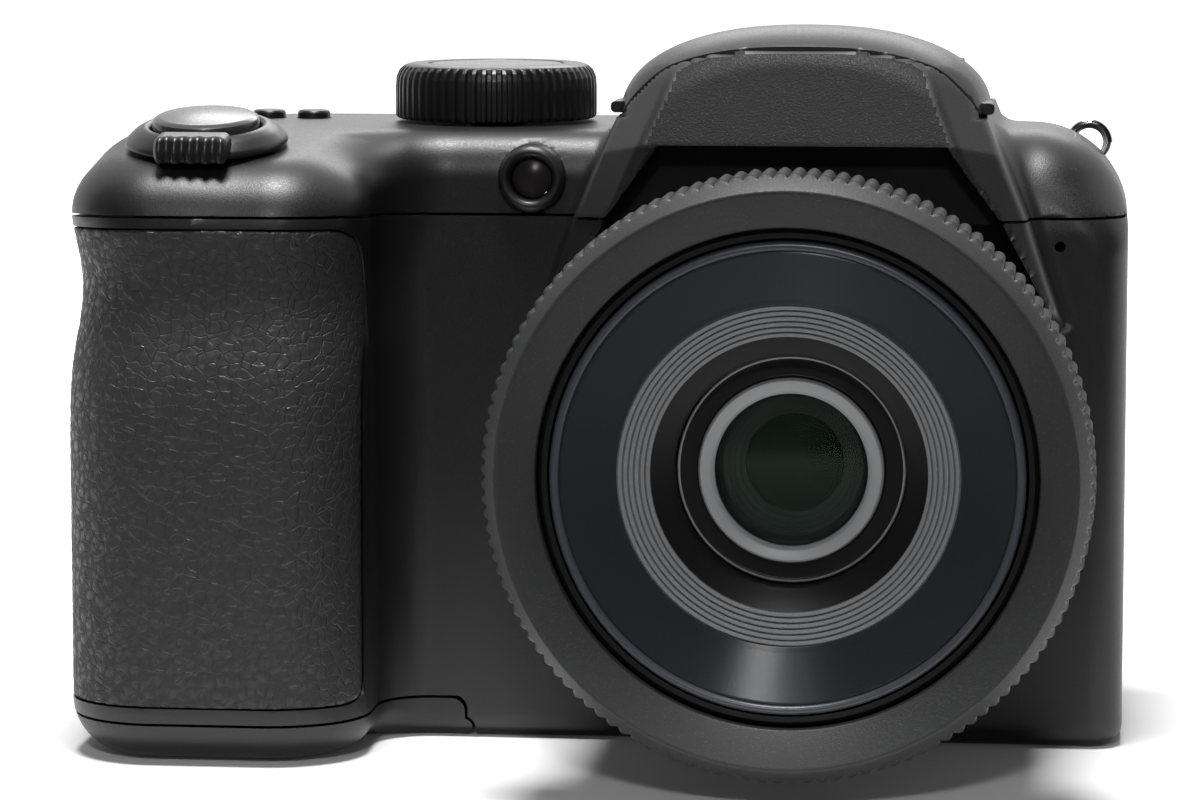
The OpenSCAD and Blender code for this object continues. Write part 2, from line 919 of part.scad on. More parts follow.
// Memory card in its cage
module memory_card() {
    color("#1d3f7a")
    box([card_x - slot_half, card_y0 + card_wall, card_z1 - 33],
        [card_x + slot_half, card_y0 + card_len - card_wall, card_z1 - 1]);
}

// Data socket behind the side flap
module usb_socket() {
    color("#b0b3b8")
    difference() {
        box([x_right - 7, port_y0 + 1.5, port_z0 + 5], [x_right - port_t - 0.8, port_y0 + 9, port_z0 + 8]);
        box([x_right - 6, port_y0 + 2, port_z0 + 5.5], [x_right, port_y0 + 8.5, port_z0 + 7.5]);
    }
}

// Small speaker inside the right wall
module speaker() {
    color("#303236")
    bar_x(speaker_y, speaker_z, speaker_r, x_right - wall - 2.4, x_right - wall);
}

// Storage capacitor of the flash
module flash_capacitor() {
    color("#26303f")
    bar_s(x_right - wall - 5.6, wall + capacitor_r, capacitor_r, -y_split + 7, -y_split + 20);
}

// Metal bush of the tripod thread
module tripod_socket() {
    color("#b8bcc2")
    difference() {
        union() {
            cylinder(r = bush_r, h = thread_len);
            translate([0, 0, wall])
                cylinder(r = bush_r + 1.5, h = 1.2);
        }
        translate([0, 0, -1])
            cylinder(r = thread_r, h = thread_len + 2);
    }
}

// Two strap loops
module strap_lugs() {
    color("#d5d7da")
    strap_form();
}

// Screws through the base
module body_screws() {
    color("#55585c")
    for (p = screw_at)
        translate([p[0], p[1], 0]) {
            translate([0, 0, 0.4])
                cylinder(r = screw_head, h = 0.8);
            translate([0, 0, 1])
                cylinder(r = screw_r, h = boss_top - 3);
        }
}

// Bracket of motor and idler
module gear_plate() {
    color("#8d9094") {
        difference() {
            along_y(-bracket_s1, -bracket_s1 + bracket_t) {
                translate([idler_x, idler_z])
                    circle(5.2);
                translate([pinion_x, pinion_z])
                    circle(post_off + stud_r);
                translate([idler_x - 5, idler_z])
                    square([7, pinion_z - idler_z]);
            }
            bar_s(pinion_x, pinion_z, shaft_r + run, bracket_s1 - 3, bracket_s1 + 1);
        }
        bar_s(idler_x, idler_z, stud_r, bracket_s1 - eps, flange_s1);
        bar_s(pinion_x, pinion_z + post_off, stud_r, bracket_s1 - eps, flange_s1);
    }
}

// Zoom motor
module zoom_motor() {
    color("#9a9da2")
    bar_s(pinion_x, pinion_z, motor_r, bracket_s1 - bracket_t - motor_len, bracket_s1 - bracket_t);
}

// Rods that guide the focus carrier
module guide_rods() {
    color("#c8cacd")
    for (x = [-rod_x, rod_x])
        bar_s(x, axis_z, rod_r, plate_s - 1.5, flange_s1 - 2.4);
}

// Pins of flash lid, battery door and side flap
module hinge_pins() {
    color("#c8cacd") {
        bar_x(pivot_y, pivot_z, pin_r, -pivot_half - 3.5, pivot_half + 3.5);
        bar_s(hinge_x, hinge_z, hinge_pin, -lug_y[1] - lug_w - 2, -lug_y[0] + 2);
        port_rod();
    }
}

// Shutter button
module shutter_button() {
    color("#2a2a2c")
    on_grip() {
        translate([0, 0, 0.4])
            cylinder(r = shutter_r, h = 2.8);
        intersection() {
            translate([0, 0, 3.2 - eps])
                cylinder(r = shutter_r, h = 2);
            translate([0, 0, 3.9 - 4 * shutter_r])
                sphere(r = 4 * shutter_r);
        }
        translate([0, 0, -5])
            cylinder(r = 2.4, h = 6);
    }
}

// Zoom lever around the shutter button
module zoom_lever() {
    color("#202022")
    on_grip()
        difference() {
            union() {
                translate([0, 0, lift])
                    cylinder(r1 = lever_r, r2 = shutter_r + 1.3, h = 2.5);
                translate([0, 0, -wall - 0.6])
                    cylinder(r = hub_r, h = wall + 1.2);
                translate([0, 0, -wall - 0.6 - lip_t])
                    cylinder(r = hub_r + 0.9, h = lip_t);
                box([-4.2, -lever_r - 1.6, lift], [4.2, -hub_r, lift + 3.4]);
            }
            translate([0, 0, -wall - 2])
                cylinder(r = shutter_r + 0.1, h = 9);
        }
}

// Mode dial
module mode_dial() {
    color("#1c1c1e")
    translate([dial_x, dial_y, z_top])
        difference() {
            union() {
                translate([0, 0, lift])
                    linear_extrude(dial_h - 1.2)
                        polygon(knurl(dial_r, 0.35, dial_ribs));
                translate([0, 0, lift + dial_h - 1.2])
                    cylinder(r1 = dial_r - 0.4, r2 = dial_r - 1.6, h = 1.2 - lift);
                translate([0, 0, -wall - 0.6])
                    cylinder(r = axle_r, h = wall + 1.2);
                translate([0, 0, -wall - 0.6 - lip_t])
                    cylinder(r = axle_r + 1, h = lip_t);
            }
            translate([0, 0, dial_h - 0.5])
                cylinder(r = dial_r - 4, h = 1);
        }
}

// Disc in the top of the mode dial
module dial_cap() {
    color("#d9dadc")
    translate([dial_x, dial_y, z_top + dial_h - 0.5])
        cylinder(r = dial_r - 4, h = 0.5);
}

// Button that slides through the deck
module top_key(x) {
    translate([x, key_y, z_top - wall - 1.2]) {
        cylinder(r = top_key_r, h = wall + 2);
        translate([0, 0, -lip_t + 0.4])
            cylinder(r = top_key_r + 0.6, h = lip_t);
    }
}

// Power button
module power_button() {
    color("#2a2a2c")
    top_key(power_x);
}

// Drive mode button
module drive_button() {
    color("#2a2a2c")
    top_key(drive_x);
}

// Flash lid
module flash_lid() {
    color("#1d1d1f")
    difference() {
        union() {
            intersection() {
                hump_form(0, z_seam);
                lid_space(0);
            }
            for (s = [-1, 1])
                translate([s * hump_a, lid_y0 + tab_in, lid_z0])
                    box([-tab_t, 0, 0], [tab_t, tab_len, tab_h]);
        }
        intersection() {
            hump_form(lid_wall, z_seam - 1);
            box([-far / 2, -far / 2, 0], [far / 2, pivot_y - pivot_clear, far]);
        }
        bar_x(pivot_y, pivot_z, pin_r + run, -far / 2, far / 2);
        box([-far / 2, pivot_y - pivot_clear, 0], [far / 2, far, pivot_z - pivot_r]);
    }
}

// Flash head with its reflector hollow
module flash_head() {
    color("#3a3a3c")
    difference() {
        intersection() {
            hump_form(lid_wall, z_seam);
            box([-flash_half - 2.5, lid_y0 + 1.2, flash_low - 1.2], [flash_half + 2.5, lid_y0 + 15, far]);
        }
        box([-flash_half, lid_y0 + 1, flash_low], [flash_half, lid_y0 + 6, flash_high]);
    }
}

// Diffuser window of the flash
module flash_window() {
    color("#e6e6e0")
    box([-flash_half, lid_y0 + 1.2, flash_low], [flash_half, lid_y0 + 2.2, flash_high]);
}

// Cam ring with gear teeth on its rim
module cam_ring() {
    color("#2b2b2e") {
        turned()
            polygon([
                [tube_r + run, cam_s0], [ring_pitch - 0.8, cam_s0], [ring_pitch - 0.8, cam_s1],
                [tube_r + run, cam_s1]
            ]);
        translate([0, -gear_s0, axis_z])
            rotate([90, 0, 0])
                linear_extrude(gear_w)
                    polygon(concat(
                        teeth(ring_n, gear_m, sector_a, sector_b),
                        arc([0, 0], ring_pitch - 1.1, sector_b * 360 / ring_n,
                            sector_a * 360 / ring_n, 24)));
    }
}

// Middle barrel of the lens
module middle_barrel() {
    color("#1c1f26")
    turned()
        polygon([
            [mid_in, mid_s0], [mid_r, mid_s0], [mid_r, mid_s1 - 0.4],
            [mid_r - 0.4, mid_s1], [mid_in, mid_s1]
        ]);
}

// Iris and blade shutter unit at the back of the middle barrel
module iris_unit() {
    color("#18181a")
    turned()
        polygon([[iris_r, mid_s0], [mid_in, mid_s0], [mid_in, mid_s0 + iris_t], [iris_r, mid_s0 + iris_t]]);
}

// Front barrel of the lens
module front_barrel() {
    color("#20242c")
    turned()
        polygon([
            [front_in, front_s0], [front_r, front_s0], [front_r, front_s1 - 0.5],
            [front_r - 0.4, front_s1], [front_r - 0.8, front_s1], [front_in, front_s1 - 0.4]
        ]);
}

// Dished bezel with fine steps behind the front rim
module front_bezel() {
    color("#23262d")
    turned()
        polygon(concat(
            [[bezel_r, cell_s - 2], [front_in, dish_s - 2], [front_in, front_s1 - 0.6]],
            [for (i = [0:steps - 1], k = [0, 1])
                [step_r1 - (step_r1 - step_r0) * (i + k * 0.75) / steps, dish_s - i * 0.25 - k * 0.02]],
            [[step_r0, dish_s - 1.6], [step_r0 - 1, dish_s - 3.4], [bezel_r, cell_s + 1]]
        ));
}

// Ring that holds the front glass
module retaining_ring() {
    color("#4a4c50")
    turned()
        polygon([
            [glass_r, cell_s - 1], [glass_r, cell_s + 0.2], [seat_r, cell_s + 0.6],
            [seat_r, cell_s - 0.4], [bezel_r, cell_s - 0.4], [bezel_r, cell_s - 2],
            [glass_r + 1, cell_s - 2], [glass_r + 1, cell_s - 1]
        ]);
}

// Front glass
module front_glass() {
    color("#10181a")
    translate([0, -cell_s, axis_z])
        rotate([90, 0, 0]) {
            translate([0, 0, -3.6])
                cylinder(r = glass_r + 1, h = 2.6);
            intersection() {
                translate([0, 0, -1 - eps])
                    cylinder(r = glass_r - 0.1, h = 3);
                translate([0, 0, 0.6 - 2.6 * glass_r])
                    sphere(r = 2.6 * glass_r, $fn = 96);
            }
        }
}

// Motor pinion
module motor_pinion() {
    color("#d0c48a")
    translate([pinion_x, -gear_s0, pinion_z])
        rotate([90, 0, 0]) {
            linear_extrude(gear_w)
                polygon(teeth(pinion_n, gear_m, 1, pinion_n, drive_a + 180 + 180 / pinion_n));
            translate([0, 0, -0.3 - bracket_t])
                cylinder(r = shaft_r, h = bracket_t + 0.3 + eps);
        }
}

// Idler gear between pinion and cam ring
module idler_gear() {
    color("#d9d4c4")
    translate([idler_x, -gear_s0, idler_z])
        rotate([90, 0, 0])
            linear_extrude(gear_w)
                difference() {
                    polygon(teeth(idler_n, gear_m, 1, idler_n, 180 / idler_n));
                    circle(stud_r + run);
                }
}

// Focus lens carrier on its rods
module focus_carrier() {
    color("#1f1f22")
    along_y(-9, -5)
        difference() {
            union() {
                translate([0, axis_z])
                    circle(carrier_r);
                translate([-rod_x - 2.5, axis_z - 2.4])
                    square([2 * rod_x + 5, 4.8]);
            }
            translate([0, axis_z])
                circle(focus_r);
            for (x = [-rod_x, rod_x])
                translate([x, axis_z])
                    circle(rod_r + run);
        }
}

// Focus lens
module focus_glass() {
    color("#9fb6b0")
    bar_s(0, axis_z, focus_r, 5.6, 8.4);
}

// Board under the back keys
module key_board() {
    color("#1f5a34")
    box([keys_x0, keys_y - keys_t, keys_z0], [keys_x1, keys_y, keys_z1]);
}

// Battery door in the base of the grip
module battery_door() {
    color("#1b1b1d")
    difference() {
        intersection() {
            case_form(0, case_h);
            along_y(-far, door_y1) {
                translate([-far, 0])
                    square([far + hinge_x, door_h]);
                translate([hinge_x, hinge_z])
                    circle(knuckle_r);
            }
        }
        intersection() {
            case_form(1.6, case_h);
            box([-far, -far, door_t], [hinge_x - 2.6, door_y1 - 1.6, far]);
        }
        bar_s(hinge_x, hinge_z, hinge_pin + run, -lug_y[1] - lug_w - 3, -lug_y[0] + 3);
        for (y = lug_y)
            box([hinge_x - 1.6, y - 0.3, -1], [far, y + lug_w + 0.3, far]);
        latch_space(0.3);
    }
    color("#1b1b1d")
    for (i = [-0.5, 0.5], k = [0, 1])
        translate([bay_x + i * pitch, bay_y + k * pitch, door_t - eps])
            cylinder(r = 3, h = cell_z0 - door_t - 0.3);
}

// Space of the door latch, grown by g along its slot
module latch_space(g) {
    box([x_left + 8 - g, bay_y + 2 - g, -1], [x_left + 18 + (g > 0 ? 2.8 : 0), bay_y + 9 + g, 1.2]);
}

// Sliding latch of the battery door
module door_latch() {
    color("#2d2d30")
    difference() {
        intersection() {
            latch_space(0);
            box([-far, -far, 0.2], [far, far, 0.95]);
        }
        for (i = [0:3])
            box([x_left + 10 + i * 1.6, bay_y + 3, 0], [x_left + 10.8 + i * 1.6, bay_y + 8, 0.5]);
    }
}

// Flap over the data socket
module port_cover() {
    color("#222224")
    difference() {
        union() {
            box([x_right - port_t, port_y0, port_z0], [x_right, port_y1, port_z1]);
            translate([port_axis_x, port_y1, port_z0])
                cylinder(r = port_barrel, h = port_z1 - port_z0);
        }
        translate([port_axis_x, port_y1, 0])
            cylinder(r = port_pin + run, h = far / 2);
    }
}

// Movie record button
module record_button() {
    color("#2a2a2c")
    back_key(record_at[0], record_at[1], key_r);
}

// Menu button
module menu_button() {
    color("#2a2a2c")
    back_key(menu_at[0], menu_at[1], key_r);
}

// Playback button
module play_button() {
    color("#2a2a2c")
    back_key(play_at[0], play_at[1], key_r);
}

// Rocking direction pad
module nav_pad() {
    color("#28282a")
    difference() {
        bar_s(pad_x, pad_z, pad_r, -y_back - 0.8, -y_back + wall + 0.2);
        bar_s(pad_x, pad_z, set_r + 0.4, -far / 2, far / 2);
    }
}

// Cradle that lets the direction pad rock two ways
module nav_cradle() {
    color("#4c4c50")
    difference() {
        bar_s(pad_x, pad_z, cradle_r, -y_back + wall + 0.5, -keys_y - 0.3);
        bar_s(pad_x, pad_z, set_r + 0.4, -far / 2, far / 2);
    }
}

// Centre button of the pad
module set_button() {
    color("#2e2e30")
    bar_s(pad_x, pad_z, set_r, -y_back - 1.1, -keys_y - key_gap);
}

front_shell();
rear_cover();
top_cover();
lens_shroud();
grip_rubber();
thumb_pad();
lens_tube();
lens_ring();
af_lamp_bezel();
af_lamp_lens();
lcd_window();
lcd_panel();
lcd_frame();
main_board();
sensor_board();
battery_tray();
battery_contacts();
battery_cells();
card_slot();
memory_card();
usb_socket();
speaker();
flash_capacitor();
tripod_socket();
strap_lugs();
body_screws();
gear_plate();
zoom_motor();
guide_rods();
hinge_pins();
shutter_button();
zoom_lever();
mode_dial();
dial_cap();
power_button();
drive_button();
flash_lid();
flash_head();
flash_window();
cam_ring();
middle_barrel();
iris_unit();
front_barrel();
front_bezel();
retaining_ring();
front_glass();
motor_pinion();
idler_gear();
focus_carrier();
focus_glass();
key_board();
battery_door();
door_latch();
port_cover();
record_button();
menu_button();
play_button();
nav_pad();
nav_cradle();
set_button();
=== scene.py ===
"""Looks of a compact bridge camera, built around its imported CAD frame."""

import logging
import math
from dataclasses import dataclass
from enum import Enum
from typing import Callable, Sequence

import bpy
import numpy as np
from mathutils import Matrix, Vector


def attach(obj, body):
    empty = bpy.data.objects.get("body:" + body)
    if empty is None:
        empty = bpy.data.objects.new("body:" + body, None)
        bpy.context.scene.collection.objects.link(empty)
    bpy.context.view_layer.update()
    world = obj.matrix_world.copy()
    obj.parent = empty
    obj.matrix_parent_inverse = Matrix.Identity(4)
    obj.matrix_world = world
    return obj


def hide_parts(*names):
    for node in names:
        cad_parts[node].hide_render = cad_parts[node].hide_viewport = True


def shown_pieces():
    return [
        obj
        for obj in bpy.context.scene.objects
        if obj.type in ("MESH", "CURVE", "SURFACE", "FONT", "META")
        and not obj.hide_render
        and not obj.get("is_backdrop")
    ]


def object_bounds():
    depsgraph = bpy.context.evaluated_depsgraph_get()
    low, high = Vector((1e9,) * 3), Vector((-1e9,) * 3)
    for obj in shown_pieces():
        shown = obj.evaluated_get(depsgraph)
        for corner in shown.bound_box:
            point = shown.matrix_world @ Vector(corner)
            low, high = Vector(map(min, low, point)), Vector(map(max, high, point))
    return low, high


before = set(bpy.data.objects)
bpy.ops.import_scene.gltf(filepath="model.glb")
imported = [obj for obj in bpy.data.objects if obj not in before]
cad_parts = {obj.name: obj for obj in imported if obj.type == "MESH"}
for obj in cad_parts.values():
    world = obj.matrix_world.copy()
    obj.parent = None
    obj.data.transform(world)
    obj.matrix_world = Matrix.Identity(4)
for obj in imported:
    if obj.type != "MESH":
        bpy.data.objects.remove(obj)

LOG = logging.getLogger("camera")
MM = 0.001
Array = np.ndarray
Field = Callable[[Array, Array, Array], Array]
Colour = tuple[float, float, float]
Pair = tuple[float, float]


class Axis(Enum):
    """Axis that a turned piece is spun about."""

    UP = "up"
    FRONT = "front"


# Shader helpers


class Tree:
    """Short way to add and link the nodes of one tree."""

    def __init__(self, tree: bpy.types.NodeTree) -> None:
        """Keep the tree that nodes are added to."""
        self.tree = tree

    def node(self, kind: str, settings: dict | None = None, **inputs: object) -> bpy.types.Node:
        """Add one node.

        Args:
            kind: Node type without its ShaderNode prefix, or a full type name.
            settings: Properties set on the node itself.
            inputs: Socket values or links, spaces in names written as underscores.

        Returns:
            The new node.
        """
        full = kind if kind.startswith("Node") else "ShaderNode" + kind
        made = self.tree.nodes.new(full)
        for key, value in (settings or {}).items():
            setattr(made, key, value)
        for key, value in inputs.items():
            self.feed(made.inputs[key.replace("_", " ")], value)
        return made

    def feed(self, socket: bpy.types.NodeSocket, value: object) -> None:
        """Link or set one socket.

        Args:
            socket: Input to fill.
            value: Another node's output, a number or a colour.
        """
        if isinstance(value, bpy.types.NodeSocket):
            self.tree.links.new(value, socket)
        elif isinstance(value, tuple) and len(value) == 3 and socket.type == "RGBA":
            socket.default_value = (*value, 1.0)
        else:
            socket.default_value = value

    def maths(self, operation: str, first: object, second: object = 0.0) -> bpy.types.NodeSocket:
        """Add one maths node.

        Args:
            operation: Blender's name of the operation.
            first: First value or link.
            second: Second value or link.

        Returns:
            The node's output.
        """
        made = self.node("Math", {"operation": operation})
        self.feed(made.inputs[0], first)
        self.feed(made.inputs[1], second)
        return made.outputs[0]

    def span(self, value: object, low: float, high: float, to_low: float,
             to_high: float) -> bpy.types.NodeSocket:
        """Map a value from one range to another, clamped.

        Args:
            value: Link to map.
            low: Start of the range read.
            high: End of the range read.
            to_low: Start of the range written.
            to_high: End of the range written.

        Returns:
            The mapped value.
        """
        made = self.node("MapRange", {"interpolation_type": "SMOOTHSTEP"})
        for index, item in enumerate((value, low, high, to_low, to_high)):
            self.feed(made.inputs[index], item)
        return made.outputs[0]

    def blend(self, factor: object, first: object, second: object) -> bpy.types.NodeSocket:
        """Mix two colours.

        Args:
            factor: Share of the second colour.
            first: Colour at zero.
            second: Colour at one.

        Returns:
            The mixed colour.
        """
        made = self.node("Mix", {"data_type": "RGBA"})
        self.feed(made.inputs[0], factor)
        self.feed(made.inputs[6], first)
        self.feed(made.inputs[7], second)
        return made.outputs[2]


class Effects:
    """Node groups that several materials share."""

    _made: dict[str, bpy.types.NodeTree] = {}

    @classmethod
    def _start(cls, name: str, takes: dict[str, float],
               gives: Sequence[str]) -> tuple[Tree, bpy.types.Node, bpy.types.Node]:
        """Open a new group.

        Args:
            name: Group name.
            takes: Input names with their usual values.
            gives: Output names.

        Returns:
            The tree helper, the group's input node and its output node.
        """
        group = bpy.data.node_groups.new(name, "ShaderNodeTree")
        for key, value in takes.items():
            socket = group.interface.new_socket(key, in_out="INPUT", socket_type="NodeSocketFloat")
            socket.default_value = value
        for key in gives:
            group.interface.new_socket(key, in_out="OUTPUT", socket_type="NodeSocketFloat")
        cls._made[name] = group
        tree = Tree(group)
        return tree, tree.node("NodeGroupInput"), tree.node("NodeGroupOutput")

    @classmethod
    def grain(cls) -> bpy.types.NodeTree:
        """Fine moulded grain.

        Returns:
            Group giving Height and a slow Cloud value.
        """
        if "fine_grain" in cls._made:
            return cls._made["fine_grain"]
        tree, take, give = cls._start("fine_grain", {"Scale": 5000.0}, ("Height", "Cloud"))
        place = tree.node("TexCoord").outputs["Object"]
        fine = tree.node("TexNoise", Vector=place, Scale=take.outputs["Scale"], Detail=2.0, Roughness=0.6)
        pits = tree.node("TexVoronoi", Vector=place, Scale=take.outputs["Scale"])
        height = tree.maths("ADD", fine.outputs["Fac"],
                            tree.maths("MULTIPLY", pits.outputs["Distance"], 0.5))
        cloud = tree.node("TexNoise", Vector=place, Scale=90.0, Detail=4.0)
        tree.feed(give.inputs["Height"], height)
        tree.feed(give.inputs["Cloud"], cloud.outputs["Fac"])
        return cls._made["fine_grain"]

    @classmethod
    def sparkle(cls) -> bpy.types.NodeTree:
        """Small bright flakes in paint.

        Returns:
            Group giving a Flake mask and its Height.
        """
        if "paint_sparkle" in cls._made:
            return cls._made["paint_sparkle"]
        tree, take, give = cls._start("paint_sparkle", {"Scale": 4200.0, "Share": 0.2}, ("Flake", "Height"))
        place = tree.node("TexCoord").outputs["Object"]
        cells = tree.node("TexVoronoi", Vector=place, Scale=take.outputs["Scale"])
        parts = tree.node("SeparateColor", Color=cells.outputs["Color"])
        limit = tree.maths("SUBTRACT", 1.0, take.outputs["Share"])
        chosen = tree.maths("GREATER_THAN", parts.outputs[0], limit)
        round_spot = tree.span(cells.outputs["Distance"], 0.0, 0.5, 1.0, 0.0)
        tree.feed(give.inputs["Flake"], tree.maths("MULTIPLY", chosen, round_spot))
        tree.feed(give.inputs["Height"], parts.outputs[1])
        return cls._made["paint_sparkle"]

    @classmethod
    def dust(cls) -> bpy.types.NodeTree:
        """Thin dust on faces that look up.

        Returns:
            Group giving a Dust mask.
        """
        if "light_dust" in cls._made:
            return cls._made["light_dust"]
        tree, take, give = cls._start("light_dust", {"Amount": 0.1}, ("Dust",))
        shape = tree.node("NewGeometry")
        up = tree.node("SeparateXYZ", Vector=shape.outputs["Normal"]).outputs[2]
        place = tree.node("TexCoord").outputs["Object"]
        specks = tree.node("TexNoise", Vector=place, Scale=2600.0, Detail=1.0)
        spots = tree.span(specks.outputs["Fac"], 0.66, 0.8, 0.0, 1.0)
        upward = tree.span(up, 0.1, 0.9, 0.15, 1.0)
        amount = tree.maths("MULTIPLY", tree.maths("MULTIPLY", spots, upward), take.outputs["Amount"])
        tree.feed(give.inputs["Dust"], amount)
        return cls._made["light_dust"]


@dataclass(frozen=True)
class Finish:
    """Surface of one material.

    Attributes:
        name: Material name, which is also its slot.
        colour: Linear base colour.
        tint: Colour that the slow clouds move towards.
        rough: Middle roughness.
        spread: Change of roughness over the grain.
        metal: Metallic value.
        grain: Grain cells in a metre, none at zero.
        depth: Grain depth in millimetres.
        specular: Specular level.
        flakes: Share of bright flakes.
        flake_colour: Colour of the flakes.
        dust: Dust amount.
    """

    name: str
    colour: Colour
    tint: Colour
    rough: float = 0.45
    spread: float = 0.08
    metal: float = 0.0
    grain: float = 6000.0
    depth: float = 0.012
    specular: float = 0.4
    flakes: float = 0.0
    flake_colour: Colour = (0.25, 0.25, 0.26)
    dust: float = 0.0

    def build(self) -> bpy.types.Material:
        """Make the material.

        Returns:
            The new material.
        """
        material = bpy.data.materials.new(self.name)
        material.use_nodes = True
        tree = Tree(material.node_tree)
        shader = material.node_tree.nodes["Principled BSDF"]
        self.shade(tree, shader)
        material.diffuse_color = (*self.colour, 1.0)
        return material

    def shade(self, tree: Tree, shader: bpy.types.Node) -> None:
        """Link the surface's effects to its shader.

        Args:
            tree: Tree of the material.
            shader: Its principled shader.
        """
        shader.inputs["Metallic"].default_value = self.metal
        shader.inputs["Specular IOR Level"].default_value = self.specular
        grain = tree.node("Group", {"node_tree": Effects.grain()}, Scale=self.grain)
        colour = tree.blend(grain.outputs["Cloud"], self.colour, self.tint)
        low, high = self.rough - self.spread, self.rough + self.spread
        rough = tree.span(grain.outputs["Height"], 0.3, 0.95, low, high)
        height = grain.outputs["Height"]
        if self.flakes:
            flake = tree.node("Group", {"node_tree": Effects.sparkle()}, Share=self.flakes)
            colour = tree.blend(flake.outputs["Flake"], colour, self.flake_colour)
            height = tree.maths("ADD", height, tree.maths("MULTIPLY", flake.outputs["Height"], 0.6))
        if self.dust:
            dust = tree.node("Group", {"node_tree": Effects.dust()}, Amount=self.dust)
            colour = tree.blend(dust.outputs["Dust"], colour, (0.4, 0.4, 0.4))
            rough = tree.maths("ADD", rough, tree.maths("MULTIPLY", dust.outputs["Dust"], 0.4))
        tree.feed(shader.inputs["Base Color"], colour)
        tree.feed(shader.inputs["Roughness"], rough)
        if self.depth:
            bump = tree.node("Bump", Distance=self.depth * MM, Height=height, Strength=1.0)
            tree.feed(shader.inputs["Normal"], bump.outputs[0])


@dataclass(frozen=True)
class Leather(Finish):
    """Grip rubber, whose creases come with the mesh and are darkened with painted shade.

    Attributes:
        wrinkles: Fine wrinkles in a metre.
    """

    wrinkles: float = 780.0

    def shade(self, tree: Tree, shader: bpy.types.Node) -> None:
        """Darken the creases with painted shade and gloss the tops.

        Args:
            tree: Tree of the material.
            shader: Its principled shader.
        """
        super().shade(tree, shader)
        crease = tree.node("Attribute", {"attribute_name": "pebble"}).outputs["Fac"]
        colour = shader.inputs["Base Color"].links[0].from_socket
        # painted shade: the creases get a darker base colour, as if shade fell in them
        tree.feed(shader.inputs["Base Color"], tree.blend(crease, (0.014, 0.014, 0.0145), colour))
        rough = tree.span(crease, 0.2, 1.0, self.rough + 0.2, self.rough - 0.06)
        tree.feed(shader.inputs["Roughness"], rough)
        place = tree.node("TexCoord").outputs["Object"]
        drift = tree.node("TexNoise", Vector=place, Scale=420.0, Detail=2.0).outputs["Color"]
        moved = tree.node("VectorMath", {"operation": "MULTIPLY_ADD"})
        for index, value in enumerate((drift, (0.0016, 0.0016, 0.0016), place)):
            tree.feed(moved.inputs[index], value)
        cells = tree.node("TexVoronoi", {"feature": "DISTANCE_TO_EDGE"}, Vector=moved.outputs[0],
                          Scale=self.wrinkles)
        line = tree.span(cells.outputs["Distance"], 0.0, 0.1, 0.0, 1.0)
        under = shader.inputs["Normal"].links[0].from_socket
        bump = tree.node("Bump", Distance=0.06 * MM, Height=line, Strength=1.0, Normal=under)
        tree.feed(shader.inputs["Normal"], bump.outputs[0])


@dataclass(frozen=True)
class Turning(Finish):
    """Paint over fine turned grooves, which streaks its highlights."""

    streak: float = 0.97

    def shade(self, tree: Tree, shader: bpy.types.Node) -> None:
        """Stretch the highlights across the grooves.

        Args:
            tree: Tree of the material.
            shader: Its principled shader.
        """
        super().shade(tree, shader)
        shader.inputs["Anisotropic"].default_value = self.streak
        shader.inputs["Anisotropic Rotation"].default_value = 0.25
        ring = tree.node("Tangent", {"direction_type": "RADIAL", "axis": "Y"})
        tree.feed(shader.inputs["Tangent"], ring.outputs[0])


@dataclass(frozen=True)
class Glass(Finish):
    """Clear or tinted glass with a thin coating."""

    clear: float = 0.0
    coating: Colour = (0.25, 0.9, 0.6)

    def shade(self, tree: Tree, shader: bpy.types.Node) -> None:
        """Set clear glass with smudges.

        Args:
            tree: Tree of the material.
            shader: Its principled shader.
        """
        shader.inputs["Transmission Weight"].default_value = self.clear
        shader.inputs["IOR"].default_value = 1.5
        shader.inputs["Specular Tint"].default_value = (*self.coating, 1.0)
        shader.inputs["Specular IOR Level"].default_value = self.specular
        grain = tree.node("Group", {"node_tree": Effects.grain()}, Scale=self.grain)
        low, high = max(self.rough - self.spread, 0.0), self.rough + self.spread
        rough = tree.span(grain.outputs["Cloud"], 0.3, 0.8, low, high)
        tree.feed(shader.inputs["Base Color"], tree.blend(grain.outputs["Cloud"], self.colour, self.tint))
        tree.feed(shader.inputs["Roughness"], rough)


def grey(level: float, warm: float = 0.0) -> Colour:
    """Grey of one linear level, a little warm or cool."""
    return (level * (1.0 + warm), level, level * (1.0 - warm))


